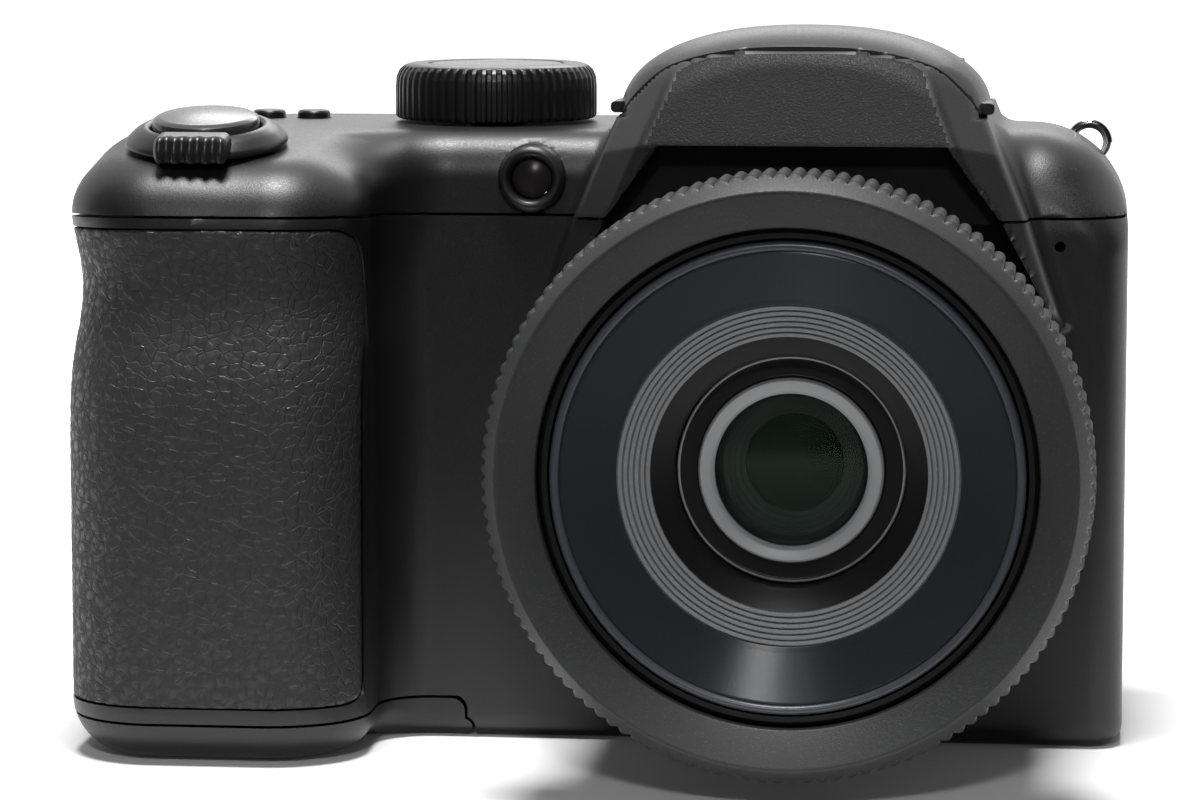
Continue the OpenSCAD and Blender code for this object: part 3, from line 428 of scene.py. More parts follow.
FINISHES: tuple[Finish, ...] = (
    Finish("case_black", grey(0.005, -0.02), grey(0.007, -0.02), 0.38, 0.07, grain=5200.0, depth=0.012,
           specular=0.5, dust=0.06),
    Leather("grip_rubber", grey(0.02, -0.01), grey(0.026, -0.01), 0.46, 0.05, grain=4200.0, depth=0.02,
            specular=0.45),
    Finish("lens_black", grey(0.005), grey(0.007), 0.4, 0.06, grain=5200.0, depth=0.01, specular=0.3,
           dust=0.04),
    Turning("barrel_blue", (0.011, 0.0125, 0.0155), (0.014, 0.0155, 0.019), 0.29, 0.03, grain=6500.0,
            depth=0.003, specular=0.4),
    Finish("rim_blue", (0.026, 0.031, 0.039), (0.034, 0.04, 0.048), 0.32, 0.05, grain=6500.0, depth=0.004,
           specular=0.6),
    Finish("ring_grey", grey(0.017, -0.02), grey(0.022, -0.02), 0.46, 0.08, grain=4800.0, depth=0.02,
           specular=0.4, flakes=0.12, flake_colour=grey(0.05)),
    Finish("step_grey", grey(0.12, -0.03), grey(0.14, -0.03), 0.42, 0.08, grain=5200.0, depth=0.012,
           specular=0.4, flakes=0.1, flake_colour=grey(0.22)),
    Finish("seat_grey", grey(0.2, -0.02), grey(0.23, -0.02), 0.36, 0.06, grain=6000.0, depth=0.008,
           specular=0.5),
    Finish("inner_black", grey(0.006), grey(0.009), 0.7, 0.05, grain=4000.0, depth=0.01, specular=0.15),
    Glass("lamp_lens", grey(0.012), (0.02, 0.014, 0.013), 0.3, 0.06, specular=0.25,
          coating=(1.0, 1.0, 1.0)),
    Glass("glass_dark", grey(0.001), grey(0.002), 0.04, 0.02, specular=0.025, coating=(0.45, 0.8, 0.6)),
    Glass("front_glass", (0.9, 0.95, 0.93), (0.92, 0.95, 0.94), 0.02, 0.01, specular=0.05, clear=1.0,
          coating=(0.1, 0.17, 0.13)),
    Glass("screen", grey(0.004), grey(0.006), 0.06, 0.03, specular=0.5, coating=(0.9, 0.95, 1.0)),
    Finish("board", (0.008, 0.05, 0.025), (0.012, 0.07, 0.03), 0.4, 0.1, grain=2500.0, depth=0.03),
    Finish("sheet_metal", grey(0.45), grey(0.52), 0.38, 0.1, metal=1.0, grain=3000.0, depth=0.004),
    Finish("steel", grey(0.5), grey(0.58), 0.25, 0.08, metal=1.0, grain=3000.0, depth=0.002),
    Finish("chrome", grey(0.72), grey(0.78), 0.12, 0.04, metal=1.0, grain=2000.0, depth=0.001),
    Finish("cell", (0.08, 0.18, 0.09), (0.1, 0.22, 0.11), 0.3, 0.06, grain=2500.0, depth=0.004),
    Finish("card", (0.02, 0.03, 0.08), (0.03, 0.04, 0.1), 0.4, 0.06, grain=3000.0, depth=0.006),
    Finish("button_black", grey(0.006), grey(0.009), 0.32, 0.06, grain=7000.0, depth=0.006, specular=0.45),
    Finish("dial_top", grey(0.03), grey(0.042), 0.22, 0.05, metal=0.3, grain=5200.0, depth=0.004,
           specular=0.6),
    Finish("gear", grey(0.02), grey(0.028), 0.45, 0.06, grain=3000.0, depth=0.006),
    Glass("flash_clear", grey(0.75), grey(0.82), 0.18, 0.06, specular=0.5, clear=0.5,
          coating=(1.0, 1.0, 1.0)),
    Finish("contact", (0.75, 0.6, 0.3), (0.8, 0.66, 0.36), 0.25, 0.08, metal=1.0, grain=3000.0,
           depth=0.003),
    Finish("panel_sparkle", grey(0.007), grey(0.01), 0.44, 0.1, grain=4200.0, depth=0.03, specular=0.12,
           flakes=0.09, flake_colour=grey(0.05)),
    Finish("tooth_black", grey(0.008), grey(0.011), 0.62, 0.06, grain=4800.0, depth=0.015, specular=0.2),
)


class Palette:
    """All materials, by slot."""

    def __init__(self, finishes: Sequence[Finish]) -> None:
        """Build each finish once."""
        self.items: dict[str, bpy.types.Material] = {item.name: item.build() for item in finishes}

    def coat(self, piece: bpy.types.Object, name: str) -> None:
        """Put one material on a piece.

        Args:
            piece: Mesh object to cover.
            name: Material name.
        """
        piece.data.materials.clear()
        piece.data.materials.append(self.items[name])

    def dress(self, piece: bpy.types.Object, name: str, node: str = "") -> None:
        """Finish a piece and hide the CAD node it stands for.

        Args:
            piece: Mesh object to cover.
            name: Material name, which is also the slot.
            node: CAD node that it replaces, none when empty.
        """
        self.coat(piece, name)
        if node:
            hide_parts(node)


# Field helpers, all in millimetres


def join_round(first: Array, second: Array, radius: float | Array) -> Array:
    """Union of two fields with a fillet."""
    near = np.hypot(np.maximum(radius - first, 0.0), np.maximum(radius - second, 0.0))
    return np.maximum(radius, np.minimum(first, second)) - near


def cut_round(first: Array, second: Array, radius: float | Array) -> Array:
    """Overlap of two fields with a rounded edge."""
    near = np.hypot(np.maximum(radius + first, 0.0), np.maximum(radius + second, 0.0))
    return np.minimum(-radius, np.maximum(first, second)) + near


def ramp(value: Array, start: float, end: float) -> Array:
    """Smooth step from nought at start to one at end."""
    share = np.clip((value - start) / (end - start), 0.0, 1.0)
    return share * share * (3.0 - 2.0 * share)


def soft_plus(value: Array, width: float) -> Array:
    """Positive part of a value with a soft knee."""
    return width * np.logaddexp(0.0, value / width)


def box2(first: Array, second: Array, low: tuple, high: tuple, radius: float | Array) -> Array:
    """Distance to a flat box with round corners.

    Args:
        first: First coordinates.
        second: Second coordinates.
        low: Lower corner.
        high: Upper corner.
        radius: Corner radius.

    Returns:
        Signed distance.
    """
    across = np.abs(first - (low[0] + high[0]) / 2) - (high[0] - low[0]) / 2 + radius
    along = np.abs(second - (low[1] + high[1]) / 2) - (high[1] - low[1]) / 2 + radius
    inner = np.minimum(np.maximum(across, along), 0.0)
    return inner + np.hypot(np.maximum(across, 0.0), np.maximum(along, 0.0)) - radius


def slab(value: Array, low: float, high: float) -> Array:
    """Distance to the layer between two values."""
    return np.maximum(low - value, value - high)


class Mesher:
    """Turns a field into a mesh with one vertex in each crossed cell."""

    block = 4

    def __init__(self, low: Sequence[float], high: Sequence[float], step: float) -> None:
        """Set the grid.

        Args:
            low: Lower corner in millimetres.
            high: Upper corner in millimetres.
            step: Cell size in millimetres.
        """
        self.low = np.array(low, dtype=float)
        self.step = step
        cells = np.ceil((np.array(high, dtype=float) - self.low) / step / self.block).astype(int) + 1
        self.size = cells * self.block + 1

    def sample(self, shape: Field) -> Array:
        """Fill the grid, in full only near the surface.

        Args:
            shape: Field to sample.

        Returns:
            Values at the grid points.
        """
        coarse = [np.arange(0, n, self.block) for n in self.size]
        wide = self.block * self.step
        mids = [self.low[a] + (coarse[a][:-1] + self.block / 2) * self.step for a in range(3)]
        grid = np.meshgrid(*mids, indexing="ij")
        rough = shape(*grid)
        near = np.abs(rough) < wide * 1.5
        values = np.repeat(np.repeat(np.repeat(rough, self.block, 0), self.block, 1), self.block, 2)
        values = np.pad(values, ((0, 1), (0, 1), (0, 1)), mode="edge")
        values = np.where(values > 0, wide, -wide)
        blocks = np.argwhere(near)
        offset = np.stack(np.meshgrid(*[np.arange(self.block + 1)] * 3, indexing="ij"), -1).reshape(-1, 3)
        for start in range(0, len(blocks), 4000):
            points = (blocks[start:start + 4000, None, :] * self.block + offset[None]).reshape(-1, 3)
            place = self.low + points * self.step
            values[points[:, 0], points[:, 1], points[:, 2]] = shape(place[:, 0], place[:, 1], place[:, 2])
        return values

    def mesh(self, shape: Field) -> tuple[Array, Array]:
        """Mesh the zero surface.

        Args:
            shape: Field to mesh.

        Returns:
            Vertices and four-cornered faces.
        """
        values = self.sample(shape)
        inside = values < 0
        total = np.zeros(tuple(self.size - 1), dtype=np.int8)
        for corner in np.ndindex(2, 2, 2):
            part = tuple(slice(c, c + n - 1) for c, n in zip(corner, self.size))
            total += inside[part]
        cells = np.argwhere((total > 0) & (total < 8))
        number = np.full(tuple(self.size - 1), -1, dtype=np.int64)
        number[tuple(cells.T)] = np.arange(len(cells))
        return self._corners(shape, values, number, cells), self._faces(inside, number)

    def _crossings(self, shape: Field, values: Array, axis: int) -> tuple[Array, Array]:
        """Find where the surface cuts the grid lines along one axis.

        Args:
            shape: Field to mesh.
            values: Field at the grid points.
            axis: Axis of the grid lines.

        Returns:
            Lower grid point of each cut line and the place of the cut.
        """
        here = [slice(None)] * 3
        ahead = list(here)
        here[axis], ahead[axis] = slice(0, -1), slice(1, None)
        first, second = values[tuple(here)], values[tuple(ahead)]
        edges = np.argwhere((first < 0) != (second < 0))
        first, second = first[tuple(edges.T)], second[tuple(edges.T)]
        start, stop = np.zeros(len(edges)), np.ones(len(edges))
        point = self.low + edges * self.step
        for last in (False, False, True):
            share = start + (stop - start) * first / (first - second)
            point[:, axis] = self.low[axis] + (edges[:, axis] + share) * self.step
            if last:
                break
            middle = shape(*point.T)
            same = (middle < 0) == (first < 0)
            start, first = np.where(same, share, start), np.where(same, middle, first)
            stop, second = np.where(same, stop, share), np.where(same, second, middle)
        return edges, point

    def _corners(self, shape: Field, values: Array, number: Array, cells: Array) -> Array:
        """Set each cell's vertex where the planes of the surface meet.

        Args:
            shape: Field to mesh.
            values: Field at the grid points.
            number: Vertex of each cell.
            cells: Cells that the surface crosses.

        Returns:
            One vertex for each cell.
        """
        found = []
        for axis in range(3):
            one, two = [a for a in range(3) if a != axis]
            edges, point = self._crossings(shape, values, axis)
            slope = gradient(shape, point, 0.03)
            slope /= np.maximum(np.linalg.norm(slope, axis=1, keepdims=True), 1e-9)
            for back in np.ndindex(2, 2):
                cell = edges.copy()
                cell[:, one] -= back[0]
                cell[:, two] -= back[1]
                good = ((cell >= 0) & (cell < self.size - 1)).all(1)
                found.append((number[tuple(cell[good].T)], point[good], slope[good]))
        owner, point, slope = (np.concatenate(part) for part in zip(*found))

        def total(weight: Array) -> Array:
            """Sum one value over the cuts of each cell."""
            return np.bincount(owner, weight, len(cells))

        hits = total(np.ones(len(owner)))
        middle = np.stack([total(point[:, k]) for k in range(3)], 1) / hits[:, None]
        lift = (slope * (point - middle[owner])).sum(1)
        side = np.stack([total(slope[:, k] * lift) for k in range(3)], 1)
        pairs = [[total(slope[:, a] * slope[:, b]) for b in range(3)] for a in range(3)]
        matrix = np.moveaxis(np.array(pairs), 2, 0)
        shift = np.linalg.solve(matrix + 0.06 * np.eye(3), side[..., None])[..., 0]
        corner = self.low + cells * self.step
        return np.clip(middle + shift, corner, corner + self.step)

    def _faces(self, inside: Array, number: Array) -> Array:
        """Join the vertices round each crossed edge.

        Args:
            inside: Whether each grid point is inside.
            number: Vertex of each cell.

        Returns:
            Four-cornered faces.
        """
        found = []
        for axis in range(3):
            one, two = [a for a in range(3) if a != axis]
            body = [slice(1, -1)] * 3
            body[axis] = slice(0, -1)
            ahead = list(body)
            ahead[axis] = slice(1, None)
            here, there = inside[tuple(body)], inside[tuple(ahead)]
            edges = np.argwhere(here != there)
            flip = here[tuple(edges.T)]
            edges[:, one] += 1
            edges[:, two] += 1
            ring = []
            for da, db in ((1, 1), (0, 1), (0, 0), (1, 0)):
                cell = edges.copy()
                cell[:, one] -= da
                cell[:, two] -= db
                ring.append(number[tuple(cell.T)])
            quad = np.stack(ring, 1)
            turn = flip if axis != 1 else ~flip
            quad[~turn] = quad[~turn][:, ::-1]
            found.append(quad)
        return np.concatenate(found)


def gradient(shape: Field, points: Array, reach: float) -> Array:
    """Slope of a field.

    Args:
        shape: Field to measure.
        points: Places to measure at.
        reach: Half the distance between the two readings.

    Returns:
        One slope for each place.
    """
    slope = np.empty_like(points)
    for axis in range(3):
        step = np.zeros(3)
        step[axis] = reach
        slope[:, axis] = shape(*(points + step).T) - shape(*(points - step).T)
    return slope / (2 * reach)


def add_mesh(name: str, verts: Array, faces: Sequence, body: str) -> bpy.types.Object:
    """Add one piece that rides a body.

    Args:
        name: Piece name.
        verts: Vertices in millimetres.
        faces: Faces.
        body: Body that carries the piece.

    Returns:
        The new object.
    """
    mesh = bpy.data.meshes.new(name)
    mesh.from_pydata((np.asarray(verts) * MM).tolist(), [], [list(map(int, f)) for f in faces])
    mesh.polygons.foreach_set("use_smooth", [True] * len(mesh.polygons))
    mesh.update()
    piece = bpy.data.objects.new(name, mesh)
    bpy.context.scene.collection.objects.link(piece)
    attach(piece, body)
    LOG.info("%s: %d faces on %s", name, len(faces), body)
    return piece


def grow(name: str, body: str, shape: Field, low: Sequence[float], high: Sequence[float],
         step: float) -> bpy.types.Object:
    """Mesh a field as one piece.

    Args:
        name: Piece name.
        body: Body that carries the piece.
        shape: Field in millimetres.
        low: Lower corner of the room searched.
        high: Upper corner of the room searched.
        step: Cell size in millimetres.

    Returns:
        The new object.
    """
    size = step * 1.0
    verts, faces = Mesher(low, high, size).mesh(shape)
    piece = add_mesh(name, verts, faces, body)
    sharpen(piece, 50.0)
    return piece


def soften(profile: Sequence[Pair], radius: float, count: int = 4) -> list[Pair]:
    """Round the corners of a closed outline.

    Args:
        profile: Corners of the outline.
        radius: Largest radius.
        count: Points in each rounded corner.

    Returns:
        The rounded outline.
    """
    made: list[Pair] = []
    total = len(profile)
    for index in range(total):
        before, here, after = (np.array(profile[(index + k) % total], dtype=float) for k in (-1, 0, 1))
        into, out = before - here, after - here
        reach = min(radius, 0.45 * np.linalg.norm(into), 0.45 * np.linalg.norm(out))
        start = here + into / max(np.linalg.norm(into), 1e-9) * reach
        stop = here + out / max(np.linalg.norm(out), 1e-9) * reach
        for share in np.linspace(0.0, 1.0, count):
            point = (1 - share) ** 2 * start + 2 * share * (1 - share) * here + share**2 * stop
            made.append((float(point[0]), float(point[1])))
    return made


@dataclass(frozen=True)
class Turned:
    """Closed outline spun about an axis.

    Attributes:
        profile: Pairs of radius and height along the axis, in millimetres.
        centre: Point on the axis.
        axis: Way the axis looks.
        tilt: Lean of an upward axis towards the front, in degrees.
        segments: Steps round the axis.
        wave: Change of radius from a point's angle, radius and height.
    """

    profile: Sequence[Pair]
    centre: tuple[float, float, float]
    axis: Axis = Axis.UP
    tilt: float = 0.0
    segments: int = 192
    wave: Callable[[Array, Array, Array], Array] | None = None

    def place(self, points: Array) -> Array:
        """Turn local points to where the piece stands.

        Args:
            points: Points whose third value runs along the axis.

        Returns:
            Points in the shared frame.
        """
        x, y, z = points.T
        if self.axis is Axis.FRONT:
            moved = np.stack([x, -z, y], 1)
        else:
            lean = math.radians(self.tilt)
            cos, sin = math.cos(lean), math.sin(lean)
            moved = np.stack([x, y * cos - z * sin, y * sin + z * cos], 1)
        return moved + np.array(self.centre)

    def build(self, name: str, body: str) -> bpy.types.Object:
        """Spin the outline into a piece.

        Args:
            name: Piece name.
            body: Body that carries the piece.

        Returns:
            The new object.
        """
        outline = np.array(self.profile, dtype=float)
        around = np.linspace(0.0, 2 * math.pi, self.segments, endpoint=False)
        angle, radius = np.meshgrid(around, outline[:, 0], indexing="ij")
        height = np.broadcast_to(outline[:, 1], radius.shape)
        if self.wave is not None:
            radius = radius + self.wave(angle, radius, height)
        radius = np.maximum(radius, 1e-4)
        local = np.stack([radius * np.cos(angle), radius * np.sin(angle), height], -1).reshape(-1, 3)
        count = len(outline)
        ring, spot = np.meshgrid(np.arange(self.segments), np.arange(count), indexing="ij")
        next_ring, next_spot = (ring + 1) % self.segments, (spot + 1) % count
        faces = np.stack([ring * count + spot, next_ring * count + spot, next_ring * count + next_spot,
                          ring * count + next_spot], -1).reshape(-1, 4)
        area = sum(a[0] * b[1] - b[0] * a[1] for a, b in zip(outline, np.roll(outline, -1, 0)))
        if area < 0:
            faces = faces[:, ::-1]
        piece = add_mesh(name, self.place(local), faces, body)
        sharpen(piece, 35.0)
        return piece


def sharpen(piece: bpy.types.Object, angle: float) -> None:
    """Keep edges sharper than an angle crisp.

    Args:
        piece: Mesh object.
        angle: Limit in degrees.
    """
    piece.data.set_sharp_from_angle(angle=math.radians(angle))


# Outer form


@dataclass(frozen=True)
class BodyForm:
    """Outer form of the case, in millimetres.

    Attributes:
        left: Left side.
        right: Right side.
        depth: Front and back faces' distance from the middle.
        grip_right: Right side of the grip.
        grip_front: Front of the grip.
        grip_r: Front corner radius of the grip.
        seam: Top of the lower case.
        deck: Height of the deck.
        slope: Lean of the grip's top, in degrees.
        slope_y: Line where the deck starts to lean.
        hump_x: Middle of the hump.
        hump_w: Half width of the hump.
        square: Power of the hump's arch, two for an ellipse.
        hump_z: Foot of the hump's arch.
        lean: Lean of the hump's flanks.
        crest: Rise of the hump's arch.
        crest_y: Line of the highest point.
        brow_y: Front of the brow.
        brow_z: Lower edge of the brow.
        lid_y: Front of the lid.
        lid_z: Foot of the lid.
        axis_z: Height of the lens.
        waist: Depth of the finger hollow in the grip.
    """

    left: float = -83.7
    right: float = 36.3
    depth: float = 17.0
    grip_right: float = -49.2
    grip_front: float = -38.0
    grip_r: float = 11.0
    seam: float = 61.0
    deck: float = 70.8
    slope: float = 9.0
    slope_y: float = -14.0
    hump_x: float = -0.5
    hump_w: float = 21.0
    square: float = 2.3
    hump_z: float = 72.5
    lean: float = 0.417
    crest: float = 10.48
    crest_y: float = -16.0
    brow_y: float = -31.0
    brow_z: float = 70.1
    lid_y: float = -24.0
    lid_z: float = 73.3
    axis_z: float = 36.0
    waist: float = 2.1

    @property
    def pivot_z(self) -> float:
        """Height of the lid's pivot."""
        return self.hump_z + 10.5 * math.sqrt(1 - (27 / 33) ** 2) - 2.2

    def lift(self, y: Array) -> Array:
        """Rise of the seam towards the front."""
        return 0.05 * np.maximum(-self.depth - y, 0.0)

    def plan(self, x: Array, y: Array, z: Array) -> Array:
        """Outline from above, which changes a little with height.

        Args:
            x: Places across.
            y: Places in depth, the front negative.
            z: Heights.

        Returns:
            Signed distance in millimetres, negative inside.
        """
        dent = self.waist * np.exp(-(((z - 53.5) / 7.5) ** 2))
        edge = self.left + 0.6 * dent
        corner = 4.0 + 4.0 * ramp(-x, 35.0, 60.0) + 7.0 * ramp(x, 12.0, 20.0) * ramp(z, 57.0, 66.0)
        case = box2(x, y, (edge, -self.depth), (self.right, self.depth), corner)
        grip = box2(x, y, (edge, self.grip_front + dent), (self.grip_right - 0.3 * dent, self.depth),
                    self.grip_r)
        round_off = corner + (self.grip_r - corner) * ramp(-y, 8.0, 16.0)
        whole = box2(x, y, (edge, self.grip_front + dent), (self.right, self.depth), round_off)
        return np.maximum(join_round(case, grip, 6.0 + 3.0 * ramp(z, 52.0, 70.0)), whole)

    def case(self, x: Array, y: Array, z: Array) -> Array:
        """Case with its deck and base, without the hump.

        Args:
            x: Places across.
            y: Places in depth, the front negative.
            z: Heights.

        Returns:
            Signed distance in millimetres, negative inside.
        """
        drop = soft_plus(self.slope_y - y, 1.2) * math.tan(math.radians(self.slope))
        above = (z - self.deck + drop) * 0.99
        grip = ramp(-x, 46.0, 54.0) * ramp(-y, 12.0, 18.0)
        top = 5.0 - 1.0 * ramp(y, 4.0, 10.0)
        top = top + (8.5 - top) * grip
        top = top + (11.2 - top) * ramp(x, 17.0, 26.0)
        top = top + (7.6 + 3.6 * ramp(y, -18.0, -4.0) - top) * ramp(-x, 62.0, 72.0)
        base = 2.8 + 3.7 * ramp(-x, 44.0, 56.0)
        plan = self.plan(x, y, z)
        return cut_round(cut_round(plan, above, top), -z, base)

    def hump(self, x: Array, y: Array, z: Array) -> Array:
        """Hump above the lens with its sloped front panel.

        Args:
            x: Places across.
            y: Places in depth, the front negative.
            z: Heights.

        Returns:
            Signed distance in millimetres, negative inside.
        """
        side = np.abs(x - self.hump_x)
        back = np.clip((y - self.crest_y) / (self.depth - self.crest_y), 0.0, 1.0)
        front = np.clip((self.crest_y - y) / 13.5, 0.0, 1.0)
        rise = self.crest * np.sqrt(np.maximum(1.0 - back**2 - front**2, 0.02))
        wide = self.hump_w - 2.6 * front**2 - 1.0 * back**2
        high = z - self.hump_z
        across, up, power = side / wide, np.abs(high) / rise, self.square
        scale = (across**power + up**power + 1e-9) ** (1 / power)
        steep = np.hypot(across ** (power - 1) / wide, up ** (power - 1) / rise) * scale ** (1 - power)
        cap = (scale - 1.0) / np.maximum(steep, 0.01)
        flank = (side - self.hump_w - self.lean * (self.hump_z - z)) * 0.923
        form = np.where(z > self.lid_z - 0.4, cap, flank)
        panel = (y + 25.1) * -0.8645 + (z - 80.25) * 0.5026
        face = np.maximum(panel, self.brow_y - y)
        form = cut_round(form, face, 0.9)
        edge = (flank + face + 4.2) * 0.7071
        return np.maximum(cut_round(form, edge, 0.6), y - self.depth)

    def foot(self, x: Array, y: Array, z: Array) -> Array:
        """Pillars that stand beside the lens.

        Args:
            x: Places across.
            y: Places in depth, the front negative.
            z: Heights.

        Returns:
            Signed distance in millimetres, negative inside.
        """
        side = np.abs(x - self.hump_x)
        flank = (side - 25.7 - 0.33 * (self.seam - z)) * 0.95
        face = self.brow_y - y + 0.08 * (70.0 - np.clip(z, 45.0, 70.0)) + 14.0 * ramp(-z, -52.0, -46.0)
        form = np.maximum(np.maximum(flank, face), np.maximum(y + self.depth - 2.0, 46.0 - z))
        return cut_round(form, (flank + face + 4.2) * 0.7071, 0.6)

    def arch(self, x: Array, y: Array, z: Array) -> Array:
        """Opening under the brow.

        Args:
            x: Places across.
            y: Places in depth, the front negative.
            z: Heights.

        Returns:
            Signed distance in millimetres, negative inside.
        """
        side = np.abs(x)
        low = (side - 22.4 + (z - 61.25) * 0.72) * 0.81
        high = (side - 18.2 + (z - 67.1) * 0.733) * 0.806
        return np.maximum(np.maximum(np.maximum(low, high), z - self.brow_z), y - self.lid_y - 0.5)

    def bay(self, x: Array, y: Array, z: Array) -> Array:
        """Room between the pillars that the lens stands in."""
        side = (np.abs(x) - 22.4 - 0.52 * (self.seam - z)) * 0.887
        return np.maximum(np.maximum(side, 40.0 - z), y - self.lid_y + 0.6)

    def whole(self, x: Array, y: Array, z: Array) -> Array:
        """Whole outside without the lens.

        Args:
            x: Places across.
            y: Places in depth, the front negative.
            z: Heights.

        Returns:
            Signed distance in millimetres, negative inside.
        """
        upper = join_round(self.case(x, y, z), self.hump(x, y, z), 1.6)
        lower = join_round(self.case(x, y, z), self.foot(x, y, z), 1.6)
        return np.where(z > self.seam + 0.12 + self.lift(y), upper, lower)


def post(x: Array, y: Array, place: tuple[float, float], radius: float) -> Array:
    """Distance to an upright round hole."""
    return np.hypot(x - place[0], y - place[1]) - radius


@dataclass
class CaseShells:
    """Moulded shells of the case, with the battery door.

    Attributes:
        form: Outer form that the shells share.
        wall: Shell thickness.
        seam_gap: Gap at a seam.
        split: Line between the front shell and the back cover.
        door_top: Height of the battery door.
        door_right: Right end of the battery door.
        hinge: Place of the door's pin, across and up.
        tube_r: Radius of the room for the lens tube.
        mic: Microphone hole, across and up.
        port_x: Floor of the recess for the side flap.
        port_y: Reach of that recess in depth.
        port_z: Reach of that recess in height.
        screws: Base screws, across and in depth.
        speaker: First speaker hole, in depth and up.
        screen: Lower and upper corner of the screen.
        pad: Middle of the direction pad, across and up.
        back_keys: Keys on the back, across and up.
        rest: Lower and upper corner of the thumb rest.
        dial: Axis of the mode dial, across and in depth.
        top_keys: Keys on the deck, across and in depth.
        shutter: Point on the axis of the shutter button.
        lamp: Middle of the focus lamp, across and up.
        pivot_y: Line of the flash lid's pivot.
        knuckle: Start of the hinge knuckles from the middle.
    """

    form: BodyForm
    wall: float = 2.2
    seam_gap: float = 0.32
    split: float = 12.0
    door_top: float = 4.6
    door_right: float = -39.8
    hinge: Pair = (-40.05, 1.1)
    tube_r: float = 29.2
    mic: Pair = (28.6, 58.0)
    port_x: float = 34.7
    port_y: Pair = (-3.25, 9.2)
    port_z: Pair = (16.75, 32.25)
    screws: tuple[Pair, ...] = ((30.3, -11.0), (30.3, 8.0), (-33.3, 8.0))
    speaker: Pair = (-4.0, 44.0)
    screen: tuple[Pair, Pair] = ((-34.25, 5.45), (31.85, 55.55))
    pad: Pair = (-56.45, 26.0)
    back_keys: tuple[Pair, ...] = ((-60.45, 53.0), (-47.45, 42.0), (-47.45, 11.0))
    rest: tuple[Pair, Pair] = ((-74.8, 39.9), (-65.35, 57.1))
    dial: Pair = (-38.2, 1.0)
    top_keys: tuple[Pair, ...] = ((-66.05, 4.5), (-60.65, 4.5))
    shutter: tuple[float, float, float] = (-68.25, -24.0, 69.916)
    lamp: Pair = (-31.8, 65.35)
    pivot_y: float = 11.0
    knuckle: float = 12.4

    def door_room(self, x: Array, y: Array, z: Array, gap: float) -> Array:
        """Room of the battery door.

        Args:
            x: Places across.
            y: Places in depth, the front negative.
            z: Heights.
            gap: Clearance added all round.

        Returns:
            Signed distance in millimetres, negative inside.
        """
        room = cut_round(x - self.door_right - gap, z - self.door_top - gap, 1.6)
        knuckle = np.hypot(x - self.hinge[0], z - self.hinge[1]) - self.hinge[1] - gap
        return np.maximum(np.minimum(room, knuckle), y - self.split + 0.25 - gap)

    def shell(self, x: Array, y: Array, z: Array, wall: float) -> Array:
        """Outer form hollowed to a wall."""
        skin = self.form.whole(x, y, z)
        return np.maximum(skin, -skin - wall)

    def front(self, x: Array, y: Array, z: Array) -> Array:
        """Front shell with its openings.

        Args:
            x: Places across.
            y: Places in depth, the front negative.
            z: Heights.

        Returns:
            Signed distance in millimetres, negative inside.
        """
        skin = self.form.whole(x, y, z)
        made = np.maximum(skin, -skin - self.wall)
        above = z - self.form.seam - self.form.lift(y)
        made = np.maximum(made, cut_round(above, y - self.split + 0.12, 0.1))
        made = np.maximum(made, -self.door_room(x, y, z, self.seam_gap))
        heel = np.maximum(x - self.hinge[0] - self.hinge[1] - self.seam_gap, z - self.hinge[1])
        made = np.maximum(made, -np.maximum(heel, y - self.split))
        made = np.maximum(made, -np.maximum(GripSkin.room(x, y, z, 0.18), -skin - 1.15))
        made = np.maximum(made, self.tube_r - np.hypot(x, z - self.form.axis_z))
        made = cut_round(made, -self.form.bay(x, y, z), 0.35)
        made = np.maximum(made, -np.maximum(np.hypot(x - self.mic[0], z - self.mic[1]) - 0.6, y))
        port = np.maximum(np.maximum(self.port_x - x, slab(z, *self.port_z)), slab(y, *self.port_y))
        made = np.maximum(made, -port)
        for place in self.screws:
            made = np.maximum(made, -np.maximum(post(x, y, place, 1.9), z - 2.2))
        made = np.maximum(made, -np.maximum(post(x, y, (0.0, 0.0), 6.5), z - 3.0))
        for row in range(3):
            for column in range(3):
                across, up = y - self.speaker[0] - 2.0 * column, z - self.speaker[1] - 2.0 * row
                hole = np.hypot(across, up) - 0.5
                made = np.maximum(made, -np.maximum(hole, 30.0 - x))
        return made

    def rear(self, x: Array, y: Array, z: Array) -> Array:
        """Back cover with its openings.

        Args:
            x: Places across.
            y: Places in depth, the front negative.
            z: Heights.

        Returns:
            Signed distance in millimetres, negative inside.
        """
        made = self.shell(x, y, z, self.wall)
        made = np.maximum(made, np.maximum(z - self.form.seam, self.split + 0.12 - y))
        screen = np.maximum(box2(x, z, *self.screen, 1.2), 14.5 - y)
        made = np.maximum(made, -screen)
        made = np.maximum(made, -np.maximum(np.hypot(x - self.pad[0], z - self.pad[1]) - 10.4, 10.0 - y))
        for place in self.back_keys:
            made = np.maximum(made, -np.maximum(np.hypot(x - place[0], z - place[1]) - 3.1, 10.0 - y))
        rest = np.maximum(box2(x, z, *self.rest, 1.2), 16.2 - y)
        return np.maximum(made, -rest)

